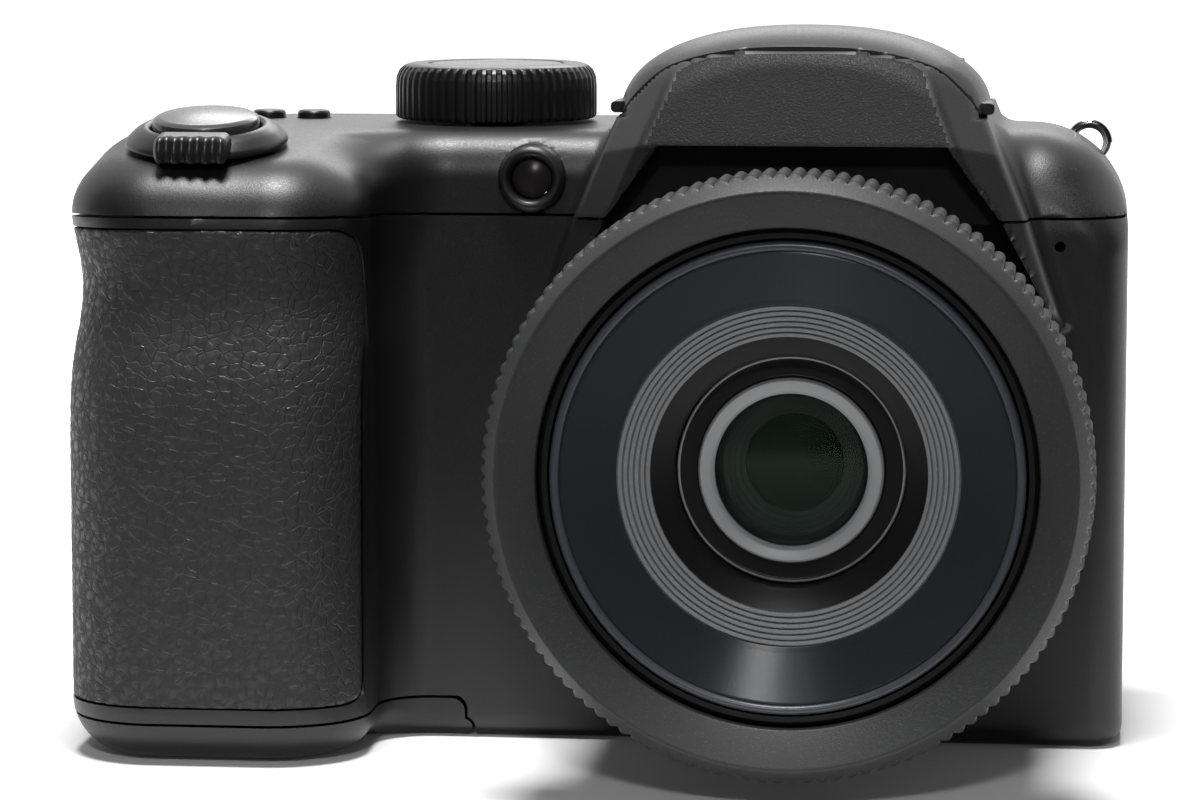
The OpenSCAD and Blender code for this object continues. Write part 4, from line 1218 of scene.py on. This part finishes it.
    def top(self, x: Array, y: Array, z: Array) -> Array:
        """Top cover with its openings.

        Args:
            x: Places across.
            y: Places in depth, the front negative.
            z: Heights.

        Returns:
            Signed distance in millimetres, negative inside.
        """
        skin = self.form.whole(x, y, z)
        pin = np.hypot(y - self.pivot_y, z - self.form.pivot_z)
        boss = np.maximum(pin - 1.7, slab(np.abs(x), self.knuckle, self.knuckle + 4.4))
        made = join_round(np.maximum(skin, -skin - self.wall), boss, 0.8)
        made = np.maximum(made, self.form.seam + self.form.lift(y) + self.seam_gap - z)
        made = cut_round(made, -self.form.arch(x, y, z), 0.35)
        made = np.maximum(made, np.minimum(self.tube_r - np.hypot(x, z - self.form.axis_z), -y))
        lid = np.maximum(np.maximum(self.form.lid_y - 0.3 - y, y - self.pivot_y - 0.3),
                         self.form.lid_z - 0.3 - z)
        pivot = np.maximum(pin - 2.4, np.abs(x) - self.knuckle)
        fill = np.maximum(slab(np.abs(x), self.knuckle, self.knuckle + 4.6), np.maximum(9.0 - y, pin - 3.6))
        made = np.maximum(made, -np.minimum(np.maximum(lid, -fill), pivot))
        lip = np.maximum(np.maximum(skin + 1.75, -skin - 3.6), np.maximum(slab(y, -26.0, -23.2), 74.5 - z))
        made = np.minimum(made, lip)
        well = np.maximum(np.maximum(np.abs(x) - 20.0, slab(y, self.form.lid_y + 0.4, 7.0)), z - 75.0)
        made = np.maximum(made, -well)
        made = np.maximum(made, -np.maximum(post(x, y, self.dial, 3.1), 60.0 - z))
        for place in self.top_keys:
            made = np.maximum(made, -np.maximum(post(x, y, place, 2.1), 60.0 - z))
        lean = math.radians(self.form.slope)
        middle, deep, high = self.shutter
        across = (y - deep) * math.cos(lean) + (z - high) * math.sin(lean)
        made = np.maximum(made, 7.3 - np.hypot(x - middle, across) + np.where(z > 60.0, 0.0, 50.0))
        lamp = np.hypot(x - self.lamp[0], z - self.lamp[1])
        return np.maximum(made, 3.95 - lamp - np.where(y < -8.0, 0.0, 50.0))

    def door(self, x: Array, y: Array, z: Array) -> Array:
        """Battery door.

        Args:
            x: Places across.
            y: Places in depth, the front negative.
            z: Heights.

        Returns:
            Signed distance in millimetres, negative inside.
        """
        made = np.maximum(self.shell(x, y, z, 1.8), self.door_room(x, y, z, 0.0))
        across, up = x - self.hinge[0], z - self.hinge[1]
        heel = np.minimum(np.minimum(across, -up), np.hypot(across, up) - self.hinge[1])
        slot = np.maximum(box2(x, y, (-76.0, -25.8), (-62.9, -18.4), 0.6), z - 1.2)
        return np.maximum(np.maximum(made, heel), -slot)

    def build(self, palette: Palette) -> None:
        """Mesh the shells.

        Args:
            palette: Materials to use.
        """
        form = self.form
        rows = (
            ("front_shell", "camera_body", self.front, (-85, -39.5, -1), (38, 13.5, 62.5), 0.53,
             "case_black"),
            ("rear_cover", "camera_body", self.rear, (-85, 11, -1), (38, 18, 62.5), 0.6, "case_black"),
            ("top_cover", "camera_body", self.top, (-85, -39.5, 60), (38, 18, 84), 0.4, "case_black"),
            ("battery_door", "door", self.door, (-85, -39.5, -1), (-38, 13, 6), 0.4, "case_black"),
        )
        for name, body, shape, low, high, step, slot in rows:
            piece = grow("case_" + name, body, shape, low, high, step)
            palette.dress(piece, slot, name)
        top = bpy.data.objects["case_top_cover"]
        top.data.materials.append(palette.items["panel_sparkle"])
        for face in top.data.polygons:
            x, y, z = (value / MM for value in face.center)
            if y < form.lid_y and z > form.brow_z - 0.6 and face.normal.y < -0.6 and abs(face.normal.x) < 0.2:
                face.material_index = 1


@dataclass
class GripSkin:
    """Rubber skin of the grip with its pebbled grain.

    Attributes:
        form: Outer form.
        cell: Size of a pebble in millimetres.
        relief: Height of the pebbles in millimetres.
        seed: Start of the random layout.
    """

    form: BodyForm
    cell: float = 1.35
    relief: float = 0.07
    seed: int = 7

    @staticmethod
    def room(x: Array, y: Array, z: Array, gap: float) -> Array:
        """Room of the skin round the grip.

        Args:
            x: Places across.
            y: Places in depth, the front negative.
            z: Heights.
            gap: Clearance added all round.

        Returns:
            Signed distance in millimetres, negative inside.
        """
        level = z - 0.05 * np.maximum(-17.0 - y, 0.0) * (0.4 + 0.6 * ramp(z, 8.0, 56.0))
        left = np.maximum(x + 56.0, box2(y, level, (-60.0, 6.4), (3.0, 59.7), 3.0))
        right = np.maximum(-58.0 - x, box2(y, level, (-60.0, 6.4), (-25.6, 59.7), 8.5))
        return np.maximum(np.minimum(left, right), x + 49.9) - gap

    def shape(self, x: Array, y: Array, z: Array) -> Array:
        """Smooth skin before its grain."""
        skin = self.form.whole(x, y, z)
        return cut_round(np.maximum(skin, -skin - 1.05), self.room(x, y, z, 0.0), 0.3)

    def pebbles(self, points: Array) -> Array:
        """Cell pattern at the given points.

        Args:
            points: Places in millimetres.

        Returns:
            Nought in a crease and one on a pebble.
        """
        after = [points[:, (k + 1) % 3] for k in range(3)]
        last = [points[:, (k + 2) % 3] for k in range(3)]
        wave = [np.sin(after[k] * 1.7 + k) + 0.6 * np.sin(last[k] * 3.1) for k in range(3)]
        bend = 0.55 * np.stack(wave, 1)
        spot = (points * np.array([1.0, 1.0, 1.18]) + 0.35 * bend) / self.cell
        base = np.floor(spot).astype(np.int64)
        near = np.full(len(spot), 9.0)
        second = np.full(len(spot), 9.0)
        for shift in np.ndindex(3, 3, 3):
            cell = base + np.array(shift) - 1
            mixed = (cell[:, 0] * 73856093) ^ (cell[:, 1] * 19349663) ^ (cell[:, 2] * 83492791) ^ self.seed
            mixed = mixed & 0x7FFFFFFF
            jitter = []
            for k in range(3):
                mixed = (mixed * 1103515245 + 12345) & 0x7FFFFFFF
                jitter.append((mixed >> 8) / float(0x7FFFFF) % 1.0)
            reach = np.linalg.norm(cell + 0.1 + 0.8 * np.stack(jitter, 1) - spot, axis=1)
            second = np.minimum(second, np.maximum(near, reach))
            near = np.minimum(near, reach)
        return ramp(second - near, 0.02, 0.42)

    def build(self, palette: Palette) -> None:
        """Mesh the skin and raise its pebbles.

        Args:
            palette: Materials to use.
        """
        step = 0.36 * 1.0
        verts, faces = Mesher((-85, -39.5, 5), (-48, 4.5, 61), step).mesh(self.shape)
        slope = gradient(self.shape, verts, 0.05)
        slope /= np.maximum(np.linalg.norm(slope, axis=1, keepdims=True), 1e-9)
        outer = self.form.whole(*verts.T) > -0.3
        level = np.where(outer, self.pebbles(verts), 1.0)
        verts = verts - slope * (self.relief * (1.0 - level))[:, None]
        piece = add_mesh("grip_skin", verts, faces, "camera_body")
        # the stored level also drives the painted shade in the rubber's creases
        store = piece.data.attributes.new("pebble", "FLOAT", "POINT")
        store.data.foreach_set("value", level.astype(np.float32))
        palette.dress(piece, "grip_rubber", "grip_rubber")


@dataclass
class FlashUnit:
    """Lift-up flash lid with its two side tabs.

    Attributes:
        form: Outer form.
        wall: Lid thickness.
    """

    form: BodyForm
    wall: float = 1.5

    def lid(self, x: Array, y: Array, z: Array) -> Array:
        """Lid with tabs and pivot barrel.

        Args:
            x: Places across.
            y: Places in depth, the front negative.
            z: Heights.

        Returns:
            Signed distance in millimetres, negative inside.
        """
        skin = self.form.hump(x, y, z)
        made = np.maximum(skin, -np.maximum(skin + self.wall, y - 7.0))
        made = np.maximum(made, np.maximum(self.form.lid_y - y, y - 11.0))
        foot = self.form.lid_z - z + 0.7 * np.maximum(skin + 0.35, 0.0)
        made = cut_round(made, foot, 0.1)
        made = np.maximum(made, -np.maximum(slab(np.abs(x), 12.3, 17.2), 7.0 - y))
        barrel = np.maximum(np.hypot(y - 11.0, z - self.form.pivot_z) - 2.0, np.abs(x) - 12.0)
        made = np.minimum(made, barrel)
        wing = np.hypot(box2(np.abs(x - self.form.hump_x), z, (19.8, 73.35), (21.6, 74.55), 0.5).clip(0.0),
                        np.maximum(slab(y, -22.6, -17.4), 0.0)) - 0.05
        return join_round(made, wing, 0.3)

    def build(self, palette: Palette) -> None:
        """Mesh the lid.

        Args:
            palette: Materials to use.
        """
        piece = grow("flash_lid_skin", "flash", self.lid, (-24, -25.5, 72), (24, 14, 84), 0.36)
        palette.dress(piece, "case_black", "flash_lid")


@dataclass
class LensUnit:
    """Front of the lens: ring, rim, cone, steps and glass.

    Attributes:
        axis_z: Height of the lens.
        ring_r: Radius over the ring's teeth.
        teeth: Number of teeth on the ring.
        tooth: Depth of the teeth.
        end: Front end of the ring, forward of the middle.
        rim_r: Outer radius of the front barrel.
        steps: Number of fine steps in the bezel.
    """

    axis_z: float = 36.0
    ring_r: float = 33.0
    teeth: int = 128
    tooth: float = 0.6
    end: float = 57.0
    rim_r: float = 25.6
    steps: int = 6

    def turn(self, name: str, body: str, profile: Sequence[Pair], radius: float, segments: int = 256,
             wave: Callable | None = None) -> bpy.types.Object:
        """Spin one outline about the lens axis.

        Args:
            name: Piece name.
            body: Body that carries it.
            profile: Pairs of radius and forward station.
            radius: Corner rounding.
            segments: Steps round the axis.
            wave: Change of radius with angle.

        Returns:
            The new piece.
        """
        outline = soften(profile, radius) if radius else list(profile)
        return Turned(outline, (0.0, 0.0, self.axis_z), Axis.FRONT, 0.0, segments, wave).build(name, body)

    def knurl(self, angle: Array, radius: Array, height: Array) -> Array:
        """Rounded teeth on the outside of the ring."""
        tip = np.abs(np.sin(angle * self.teeth / 2)) ** 0.7
        return -np.clip(radius - self.ring_r + self.tooth, 0.0, self.tooth) * (1.0 - tip)

    def build(self, palette: Palette) -> None:
        """Build the lens pieces.

        Args:
            palette: Materials to use.
        """
        end = self.end
        ring = [(28.65, end - 11.5), (32.2, end - 11.5), (self.ring_r, end - 10.9),
                (self.ring_r, end - 8.0), (self.ring_r, end - 5.0), (self.ring_r, end - 2.7),
                (32.8, end - 2.38), (32.6, end - 2.07), (32.4, end - 1.76), (31.25, end), (30.9, end),
                (27.05, end - 2.6), (26.95, end - 3.6), (28.65, end - 3.65)]
        piece = self.turn("lens_ring_skin", "camera_body", ring, 0.3, self.teeth * 10, self.knurl)
        palette.coat(piece, "ring_grey")
        piece.data.materials.append(palette.items["tooth_black"])
        for face in piece.data.polygons:
            spread = math.hypot(face.center.x, face.center.z - self.axis_z * MM) / MM
            if -face.center.y / MM < end - 2.5 or spread < 27.2:
                face.material_index = 1
        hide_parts("lens_ring")
        bead = [(25.1 + 0.5 * math.cos(t), 53.6 + 0.5 * math.sin(t)) for t in np.linspace(0.0, math.pi, 9)]
        rim = [(24.6, 21.0), (self.rim_r, 21.0), *bead]
        piece = self.turn("front_barrel_skin", "front", rim, 0.0)
        palette.coat(piece, "rim_blue")
        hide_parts("front_barrel")
        self.bezel(palette)
        seat = [(8.35, 44.8), (12.5, 44.8), (12.5, 45.5), (12.3, 45.75), (12.05, 45.5), (10.25, 45.45),
                (10.1, 46.4), (9.85, 46.95), (8.75, 46.55), (8.35, 46.1)]
        piece = self.turn("retaining_ring_skin", "front", seat, 0.14)
        palette.coat(piece, "lens_black")
        piece.data.materials.append(palette.items["seat_grey"])
        for face in piece.data.polygons:
            spread = math.hypot(face.center.x, face.center.z - self.axis_z * MM) / MM
            if spread < 10.12 or 12.15 < spread < 12.45:
                face.material_index = 1
        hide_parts("retaining_ring")
        self.glass(palette)

    def bezel(self, palette: Palette) -> None:
        """Cone and fine steps round the glass.

        Args:
            palette: Materials to use.
        """
        high, low = 53.5, 51.5
        face = [(24.6, 52.6), (24.6, high), (24.3, high + 0.05), (19.2, low), (18.6, low - 0.15)]
        width = (18.6 - 15.0) / self.steps
        for index in range(self.steps):
            start = 18.6 - index * width
            level = low - 0.15 - index * 0.16
            face += [(start, level - 0.35), (start - 0.14, level - 0.35), (start - 0.18, level - 0.02),
                     (start - width + 0.02, level - 0.14)]
        face += [(15.0, 49.9), (12.95, 48.4), (12.62, 48.1), (12.62, 44.75), (16.0, 44.75), (20.0, 50.2)]
        piece = self.turn("front_bezel_skin", "front", face, 0.05)
        palette.coat(piece, "barrel_blue")
        for name in ("step_grey", "lens_black"):
            piece.data.materials.append(palette.items[name])
        for item in piece.data.polygons:
            spread = math.hypot(item.center.x, item.center.z - self.axis_z * MM) / MM
            station = -item.center.y / MM
            if spread < 15.0 or station < 49.6:
                item.material_index = 2
            elif spread < 18.6:
                item.material_index = 1
        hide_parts("front_bezel")

    def glass(self, palette: Palette) -> None:
        """Front glass with the dark elements behind it.

        Args:
            palette: Materials to use.
        """
        front = [(r, 46.9 - r * r / 60.0) for r in np.linspace(0.8, 9.1, 14)]
        back = [(r, 44.4 - r * r / 70.0) for r in np.linspace(9.1, 0.8, 14)]
        dome = [(0.0, 46.9), *front, (9.15, 45.2), (9.15, 43.2), *back, (0.0, 44.4)]
        piece = self.turn("front_glass_skin", "front", dome, 0.0, 128)
        palette.dress(piece, "front_glass", "front_glass")
        curve = [(r, 40.0 - r * r / 30.0) for r in np.linspace(0.5, 5.1, 12)]
        inner = [(0.0, 40.0), *curve, (5.15, 38.2), (0.0, 38.2)]
        piece = self.turn("inner_glass", "front", inner, 0.0, 128)
        palette.dress(piece, "glass_dark")
        cup = [(9.1, 42.9), (12.0, 44.6), (12.0, 38.0), (5.2, 38.0)]
        for index in range(5):
            cup += [(5.2 + 0.55 * index, 39.4 + 0.7 * index), (5.75 + 0.55 * index, 39.4 + 0.7 * index)]
        piece = self.turn("inner_cup", "front", cup, 0.1, 128)
        palette.dress(piece, "inner_black")


@dataclass
class TopControls:
    """Mode dial, zoom lever, shutter button and the lamp on the front.

    Attributes:
        dial_at: Middle of the dial.
        dial_r: Radius over the dial's ribs.
        ribs: Number of ribs on the dial.
        grip_at: Where the lever's axis meets the grip top.
        tilt: Lean of that axis, in degrees.
    """

    dial_at: tuple[float, float] = (-38.2, 1.0)
    dial_r: float = 11.9
    ribs: int = 60
    grip_at: tuple[float, float, float] = (-68.25, -24.0, 69.2)
    tilt: float = 9.0

    def ridges(self, angle: Array, radius: Array, height: Array) -> Array:
        """Ribs on the side of the dial.

        Args:
            angle: Angles round the axis.
            radius: Radii before the change.
            height: Places along the axis.

        Returns:
            Change of radius.
        """
        tip = np.clip(0.5 + 1.1 * np.cos(angle * self.ribs), 0.0, 1.0)
        zone = ramp(radius, self.dial_r - 1.7, self.dial_r - 0.9) * (1 - ramp(height, 5.2, 6.0))
        return -0.5 * (1.0 - tip) * zone

    def dial(self, palette: Palette) -> None:
        """Build the mode dial.

        Args:
            palette: Materials to use.
        """
        r = self.dial_r
        side = [(0.02, -0.3), (r - 0.35, -0.3), (r, 0.05), (r, 2.0), (r, 3.4), (r - 0.1, 4.6),
                (r - 0.45, 5.4), (r - 1.05, 5.95), (r - 1.8, 6.18), (8.1, 6.2), (7.95, 5.75),
                (0.02, 5.75)]
        spot = (*self.dial_at, 71.5)
        made = Turned(soften(side, 0.15), spot, Axis.UP, 0.0, self.ribs * 12, self.ridges)
        piece = made.build("mode_dial_skin", "dial")
        palette.dress(piece, "button_black", "mode_dial")
        disc = [(0.02, 5.7), (7.85, 5.7), (7.85, 6.0), (7.6, 6.15), (0.02, 6.2)]
        piece = Turned(soften(disc, 0.1), spot, Axis.UP, 0.0, 128).build("dial_disc", "dial")
        palette.dress(piece, "dial_top", "dial_cap")
        axle = [(0.02, -3.6), (3.0, -3.6), (3.0, 0.5), (0.02, 0.5)]
        piece = Turned(soften(axle, 0.1), spot, Axis.UP, 0.0, 48).build("dial_axle", "dial")
        palette.dress(piece, "button_black")

    def lever(self, palette: Palette) -> None:
        """Build the zoom lever and the shutter button.

        Args:
            palette: Materials to use.
        """
        cone = [(6.35, -4.6), (7.15, -4.6), (7.15, 0.35), (9.15, 0.4), (9.3, 0.7), (9.15, 1.15),
                (8.1, 2.15), (7.3, 2.6), (6.7, 2.65), (6.35, 2.3)]
        made = Turned(soften(cone, 0.35), self.grip_at, Axis.UP, self.tilt, 160)
        piece = made.build("zoom_lever_skin", "lever")
        palette.dress(piece, "button_black", "zoom_lever")
        lean = math.radians(self.tilt)

        def tab(x: Array, y: Array, z: Array) -> Array:
            """Finger tab with five ribs.

            Args:
                x: Places across.
                y: Places in depth, the front negative.
                z: Heights.

            Returns:
                Signed distance in millimetres, negative inside.
            """
            across, deep, up = x - self.grip_at[0], y - self.grip_at[1], z - self.grip_at[2]
            along = deep * math.cos(lean) + up * math.sin(lean)
            high = up * math.cos(lean) - deep * math.sin(lean)
            swell = 0.28 * np.cos(across * 2 * math.pi / 1.75)
            body = box2(across, high, (-4.2, 0.35), (4.2, 3.3), 0.9)
            front = -along - 10.7 - swell + 0.35 * np.maximum(high - 1.4, 0.0) ** 1.5
            return cut_round(cut_round(body, front, 0.5), along + 6.9, 0.3)

        piece = grow("lever_tab", "lever", tab, (-73.5, -37, 65), (-63, -30, 75.5), 0.2)
        palette.dress(piece, "button_black")
        dish = [(r, 3.62 + 0.35 * (1 - (r / 5.3) ** 2)) for r in np.linspace(5.0, 0.6, 8)]
        cap = [(0.02, -4.9), (5.2, -4.9), (5.2, 0.6), (6.1, 0.8), (6.1, 3.0), (5.95, 3.35), (5.5, 3.62),
               *dish, (0.02, 3.97)]
        piece = Turned(cap, self.grip_at, Axis.UP, self.tilt, 128).build("shutter_cap", "shutter")
        palette.dress(piece, "dial_top", "shutter_button")

    def lamp(self, palette: Palette) -> None:
        """Build the focus lamp on the front.

        Args:
            palette: Materials to use.
        """
        lip = [(2.25, 14.9), (3.95, 14.9), (3.95, 17.3), (3.75, 18.1), (3.2, 18.55), (2.75, 18.4),
               (2.45, 17.9)]
        spot = (-31.8, 0.0, 65.35)
        piece = Turned(soften(lip, 0.3), spot, Axis.FRONT, 0.0, 96).build("lamp_bezel_skin", "camera_body")
        palette.dress(piece, "case_black", "af_lamp_bezel")
        curve = [(r, 17.0 + 0.55 * (1 - (r / 2.24) ** 2)) for r in (2.0, 1.5, 1.0, 0.5)]
        dome = [(0.02, 14.9), (2.24, 14.9), (2.24, 17.0), *curve, (0.02, 17.55)]
        piece = Turned(dome, spot, Axis.FRONT, 0.0, 64).build("lamp_lens_skin", "camera_body")
        palette.dress(piece, "lamp_lens", "af_lamp_lens")

    def keys(self, palette: Palette) -> None:
        """Build the power and drive keys.

        Args:
            palette: Materials to use.
        """
        for node, body, x in (("power_button", "power_key", -66.05), ("drive_button", "drive_key", -60.65)):
            cap = [(0.02, -3.7), (2.6, -3.7), (2.6, -2.9), (1.95, -2.9), (1.95, 0.45), (1.75, 0.72),
                   (1.3, 0.8), (0.02, 0.7)]
            piece = Turned(soften(cap, 0.1), (x, 4.5, 71.0), Axis.UP, 0.0, 64).build(node + "_skin", body)
            palette.dress(piece, "button_black", node)

    def build(self, palette: Palette) -> None:
        """Build all top controls.

        Args:
            palette: Materials to use.
        """
        for step in (self.dial, self.lever, self.lamp, self.keys):
            step(palette)


class FrameDress:
    """Finish for the CAD pieces that stay in view."""

    bevel = 0.12

    def __init__(self, palette: Palette) -> None:
        """Keep the materials."""
        self.palette = palette

    def dress(self) -> None:
        """Give every shown CAD node its slot's material, and soft edges to the listed ones."""
        for item in frame_nodes():
            if item.hide_render:
                continue
            slot = NODE_SLOTS.get(item.name, "inner_black")
            self.palette.coat(item, slot)
            if item.name in SOFT_NODES:
                soft = item.modifiers.new("edges", "BEVEL")
                soft.width = self.bevel * MM
                soft.segments = 2
                soft.limit_method = "ANGLE"
                soft.angle_limit = math.radians(40.0)
            LOG.info("%s dressed as %s", item.name, slot)


NODE_SLOTS: dict[str, str] = {
    "port_cover": "case_black", "lcd_window": "screen", "lcd_panel": "screen", "thumb_pad": "grip_rubber",
    "nav_pad": "button_black", "set_button": "button_black", "record_button": "button_black",
    "menu_button": "button_black", "play_button": "button_black", "nav_cradle": "inner_black",
    "strap_lugs": "chrome", "tripod_socket": "steel", "body_screws": "steel", "hinge_pins": "steel",
    "door_latch": "button_black", "lens_tube": "lens_black", "middle_barrel": "lens_black",
    "iris_unit": "inner_black", "lens_shroud": "inner_black", "cam_ring": "gear", "idler_gear": "gear",
    "motor_pinion": "contact", "gear_plate": "sheet_metal", "zoom_motor": "steel",
    "focus_carrier": "inner_black", "focus_glass": "glass_dark", "guide_rods": "steel",
    "sensor_board": "board", "main_board": "board", "key_board": "board", "lcd_frame": "sheet_metal",
    "battery_cells": "cell", "battery_contacts": "contact", "battery_tray": "inner_black",
    "card_slot": "sheet_metal", "memory_card": "card", "usb_socket": "sheet_metal",
    "speaker": "inner_black", "flash_capacitor": "inner_black", "flash_head": "inner_black",
    "flash_window": "flash_clear",
}
SOFT_NODES: tuple[str, ...] = ("port_cover", "thumb_pad", "nav_pad", "set_button", "record_button",
                               "menu_button", "play_button", "door_latch", "lcd_window")


def frame_nodes() -> list[bpy.types.Object]:
    """CAD node objects of the frame."""
    return [item for item in bpy.data.objects if item.type == "MESH" and item.name in FRAME_NAMES]


@dataclass
class Studio:
    """Floor, light and camera.

    Attributes:
        place: Camera place in millimetres.
        right: Camera's right direction.
        up: Camera's up direction.
        back: Direction from the picture to the camera.
        lens: Focal length on a 36 mm wide sensor.
        fill: Even light from all round.
        glow: Where the floor turns to plain white, from and to in metres, and its level up close.
    """

    place: tuple[float, float, float] = (32.48, -551.52, 105.69)
    right: tuple[float, float, float] = (0.99447125, 0.10500917, 0.0)
    up: tuple[float, float, float] = (-0.01277364, 0.12097057, 0.9925739)
    back: tuple[float, float, float] = (0.10422936, -0.98708622, 0.1216431)
    lens: float = 141.0
    fill: float = 0.11
    glow: tuple[float, float, float] = (0.09, 0.4, 0.02)

    def camera(self) -> None:
        """Set the camera of the photo."""
        data = bpy.data.cameras.new("view")
        data.lens = self.lens
        data.sensor_width = 36.0
        data.clip_start = 0.02
        item = bpy.data.objects.new("view", data)
        axes = Matrix((self.right, self.up, self.back)).transposed().to_4x4()
        item.matrix_world = Matrix.Translation(Vector(self.place) * MM) @ axes
        bpy.context.scene.collection.objects.link(item)
        bpy.context.scene.camera = item

    def sheet(self, name: str, corners: Sequence[tuple[float, float, float]]) -> bpy.types.Object:
        """Add one flat stage piece.

        Args:
            name: Piece name.
            corners: Its corners in metres.

        Returns:
            The new object.
        """
        mesh = bpy.data.meshes.new(name)
        mesh.from_pydata(corners, [], [tuple(range(len(corners)))])
        item = bpy.data.objects.new(name, mesh)
        bpy.context.scene.collection.objects.link(item)
        item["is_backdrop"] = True
        return item

    def floor(self) -> None:
        """Lay the pale floor."""
        item = self.sheet("floor", [(-6, -6, 0), (6, -6, 0), (6, 6, 0), (-6, 6, 0)])
        material = bpy.data.materials.new("floor_white")
        material.use_nodes = True
        shader = material.node_tree.nodes["Principled BSDF"]
        tree = Tree(material.node_tree)
        cloud = tree.node("Group", {"node_tree": Effects.grain()}, Scale=400.0).outputs["Cloud"]
        tree.feed(shader.inputs["Base Color"], tree.blend(cloud, grey(0.88), grey(0.9)))
        shader.inputs["Roughness"].default_value = 0.9
        shader.inputs["Specular IOR Level"].default_value = 0.1
        place = tree.node("TexCoord").outputs["Object"]
        reach = tree.node("VectorMath", {"operation": "LENGTH"}, Vector=place).outputs["Value"]
        glow = tree.span(reach, self.glow[0], self.glow[1], 0.0, 1.0)
        tree.feed(shader.inputs["Emission Color"], tree.blend(glow, grey(self.glow[2]), grey(1.0)))
        path = tree.node("LightPath")
        seen = tree.maths("MAXIMUM", path.outputs["Is Camera Ray"], path.outputs["Is Glossy Ray"])
        seen = tree.maths("MAXIMUM", seen, path.outputs["Is Transmission Ray"])
        tree.feed(shader.inputs["Emission Strength"], seen)
        item.data.materials.append(material)

    def flags(self) -> None:
        """Stand black cards in front, seen only in reflections."""
        material = bpy.data.materials.new("card_black")
        material.use_nodes = True
        shader = material.node_tree.nodes["Principled BSDF"]
        tree = Tree(material.node_tree)
        cloud = tree.node("Group", {"node_tree": Effects.grain()}, Scale=40.0).outputs["Cloud"]
        tree.feed(shader.inputs["Base Color"], tree.blend(cloud, grey(0.02), grey(0.03)))
        shader.inputs["Roughness"].default_value = 0.9
        cards = {
            "card_front": [(-2.5, -1.8, -0.2), (2.5, -1.8, -0.2), (2.5, -1.8, 1.9), (-2.5, -1.8, 1.9)],
            "card_left": [(-1.8, -1.8, -0.2), (-1.8, 0.3, -0.2), (-1.8, 0.3, 1.9), (-1.8, -1.8, 1.9)],
            "card_right": [(1.8, -1.8, -0.2), (1.8, 0.3, -0.2), (1.8, 0.3, 1.9), (1.8, -1.8, 1.9)],
            "card_floor": [(-1.8, -1.8, 0.002), (1.8, -1.8, 0.002), (1.8, -0.08, 0.002),
                           (-1.8, -0.08, 0.002)],
            "card_top": [(-1.8, -1.8, 1.9), (1.8, -1.8, 1.9), (1.8, 0.3, 1.9), (-1.8, 0.3, 1.9)],
        }
        for name, corners in cards.items():
            item = self.sheet(name, corners)
            item.data.materials.append(material)
            item.visible_camera = False
            item.visible_diffuse = False
            item.visible_shadow = False
            item.visible_transmission = False

    def lamp(self, name: str, place: tuple[float, float, float], target: tuple[float, float, float],
             size: tuple[float, float], power: float) -> None:
        """Hang one soft lamp.

        Args:
            name: Lamp name.
            place: Its place in metres.
            target: Point it looks at.
            size: Width and height in metres.
            power: Watts.
        """
        data = bpy.data.lights.new(name, "AREA")
        data.shape = "RECTANGLE"
        data.size, data.size_y = size
        data.energy = power
        item = bpy.data.objects.new(name, data)
        item.location = place
        item.rotation_euler = (Vector(target) - Vector(place)).to_track_quat("-Z", "Y").to_euler()
        bpy.context.scene.collection.objects.link(item)
        item.visible_camera = False
        item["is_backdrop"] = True

    def world(self) -> None:
        """White background with an even fill."""
        world = bpy.data.worlds.new("white_room")
        world.use_nodes = True
        bpy.context.scene.world = world
        tree = Tree(world.node_tree)
        path = tree.node("LightPath")
        seen = tree.maths("MAXIMUM", path.outputs["Is Camera Ray"], path.outputs["Is Glossy Ray"])
        seen = tree.maths("MAXIMUM", seen, path.outputs["Is Transmission Ray"])
        level = tree.span(seen, 0.0, 1.0, self.fill, 1.0)
        back = world.node_tree.nodes["Background"]
        back.inputs["Color"].default_value = (1.0, 1.0, 1.0, 1.0)
        tree.feed(back.inputs["Strength"], level)

    def build(self) -> None:
        """Set the whole studio."""
        scene = bpy.context.scene
        scene.view_settings.view_transform = "Standard"
        self.camera()
        self.floor()
        self.flags()
        self.world()
        self.lamp("top_soft", (-0.04, -0.12, 0.85), (-0.02, -0.02, 0.05), (0.28, 0.2), 11.0)
        self.lamp("front_key", (0.03, -1.0, 0.6), (-0.02, -0.02, 0.04), (0.1, 0.1), 3.0)
        self.lamp("back_soft", (0.0, 0.9, 0.62), (-0.02, 0.0, 0.06), (0.6, 0.25), 2.5)


def write_sizes(cad: object, seen: object) -> None:
    """Args:
        cad: Box of the CAD model.
        seen: Box of the shown pieces.
    """
    boxes = (("cad", cad), ("visual", seen))
    rows = {key: [[float(v) for v in corner] for corner in box] for key, box in boxes}


CAD_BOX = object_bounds()
FRAME_NAMES: frozenset[str] = frozenset(item.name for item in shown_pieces())


def main() -> None:
    """Build every sub-assembly in order."""
    logging.basicConfig(level=logging.INFO, format="%(name)s %(message)s")
    palette = Palette(FINISHES)
    form = BodyForm()
    Studio().build()
    LOG.info("studio set")
    for part in (CaseShells(form), GripSkin(form), FlashUnit(form), LensUnit(), TopControls()):
        part.build(palette)
        LOG.info("%s built", type(part).__name__)
    FrameDress(palette).dress()
    write_sizes(CAD_BOX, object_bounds())


if __name__ == "__main__":
    main()
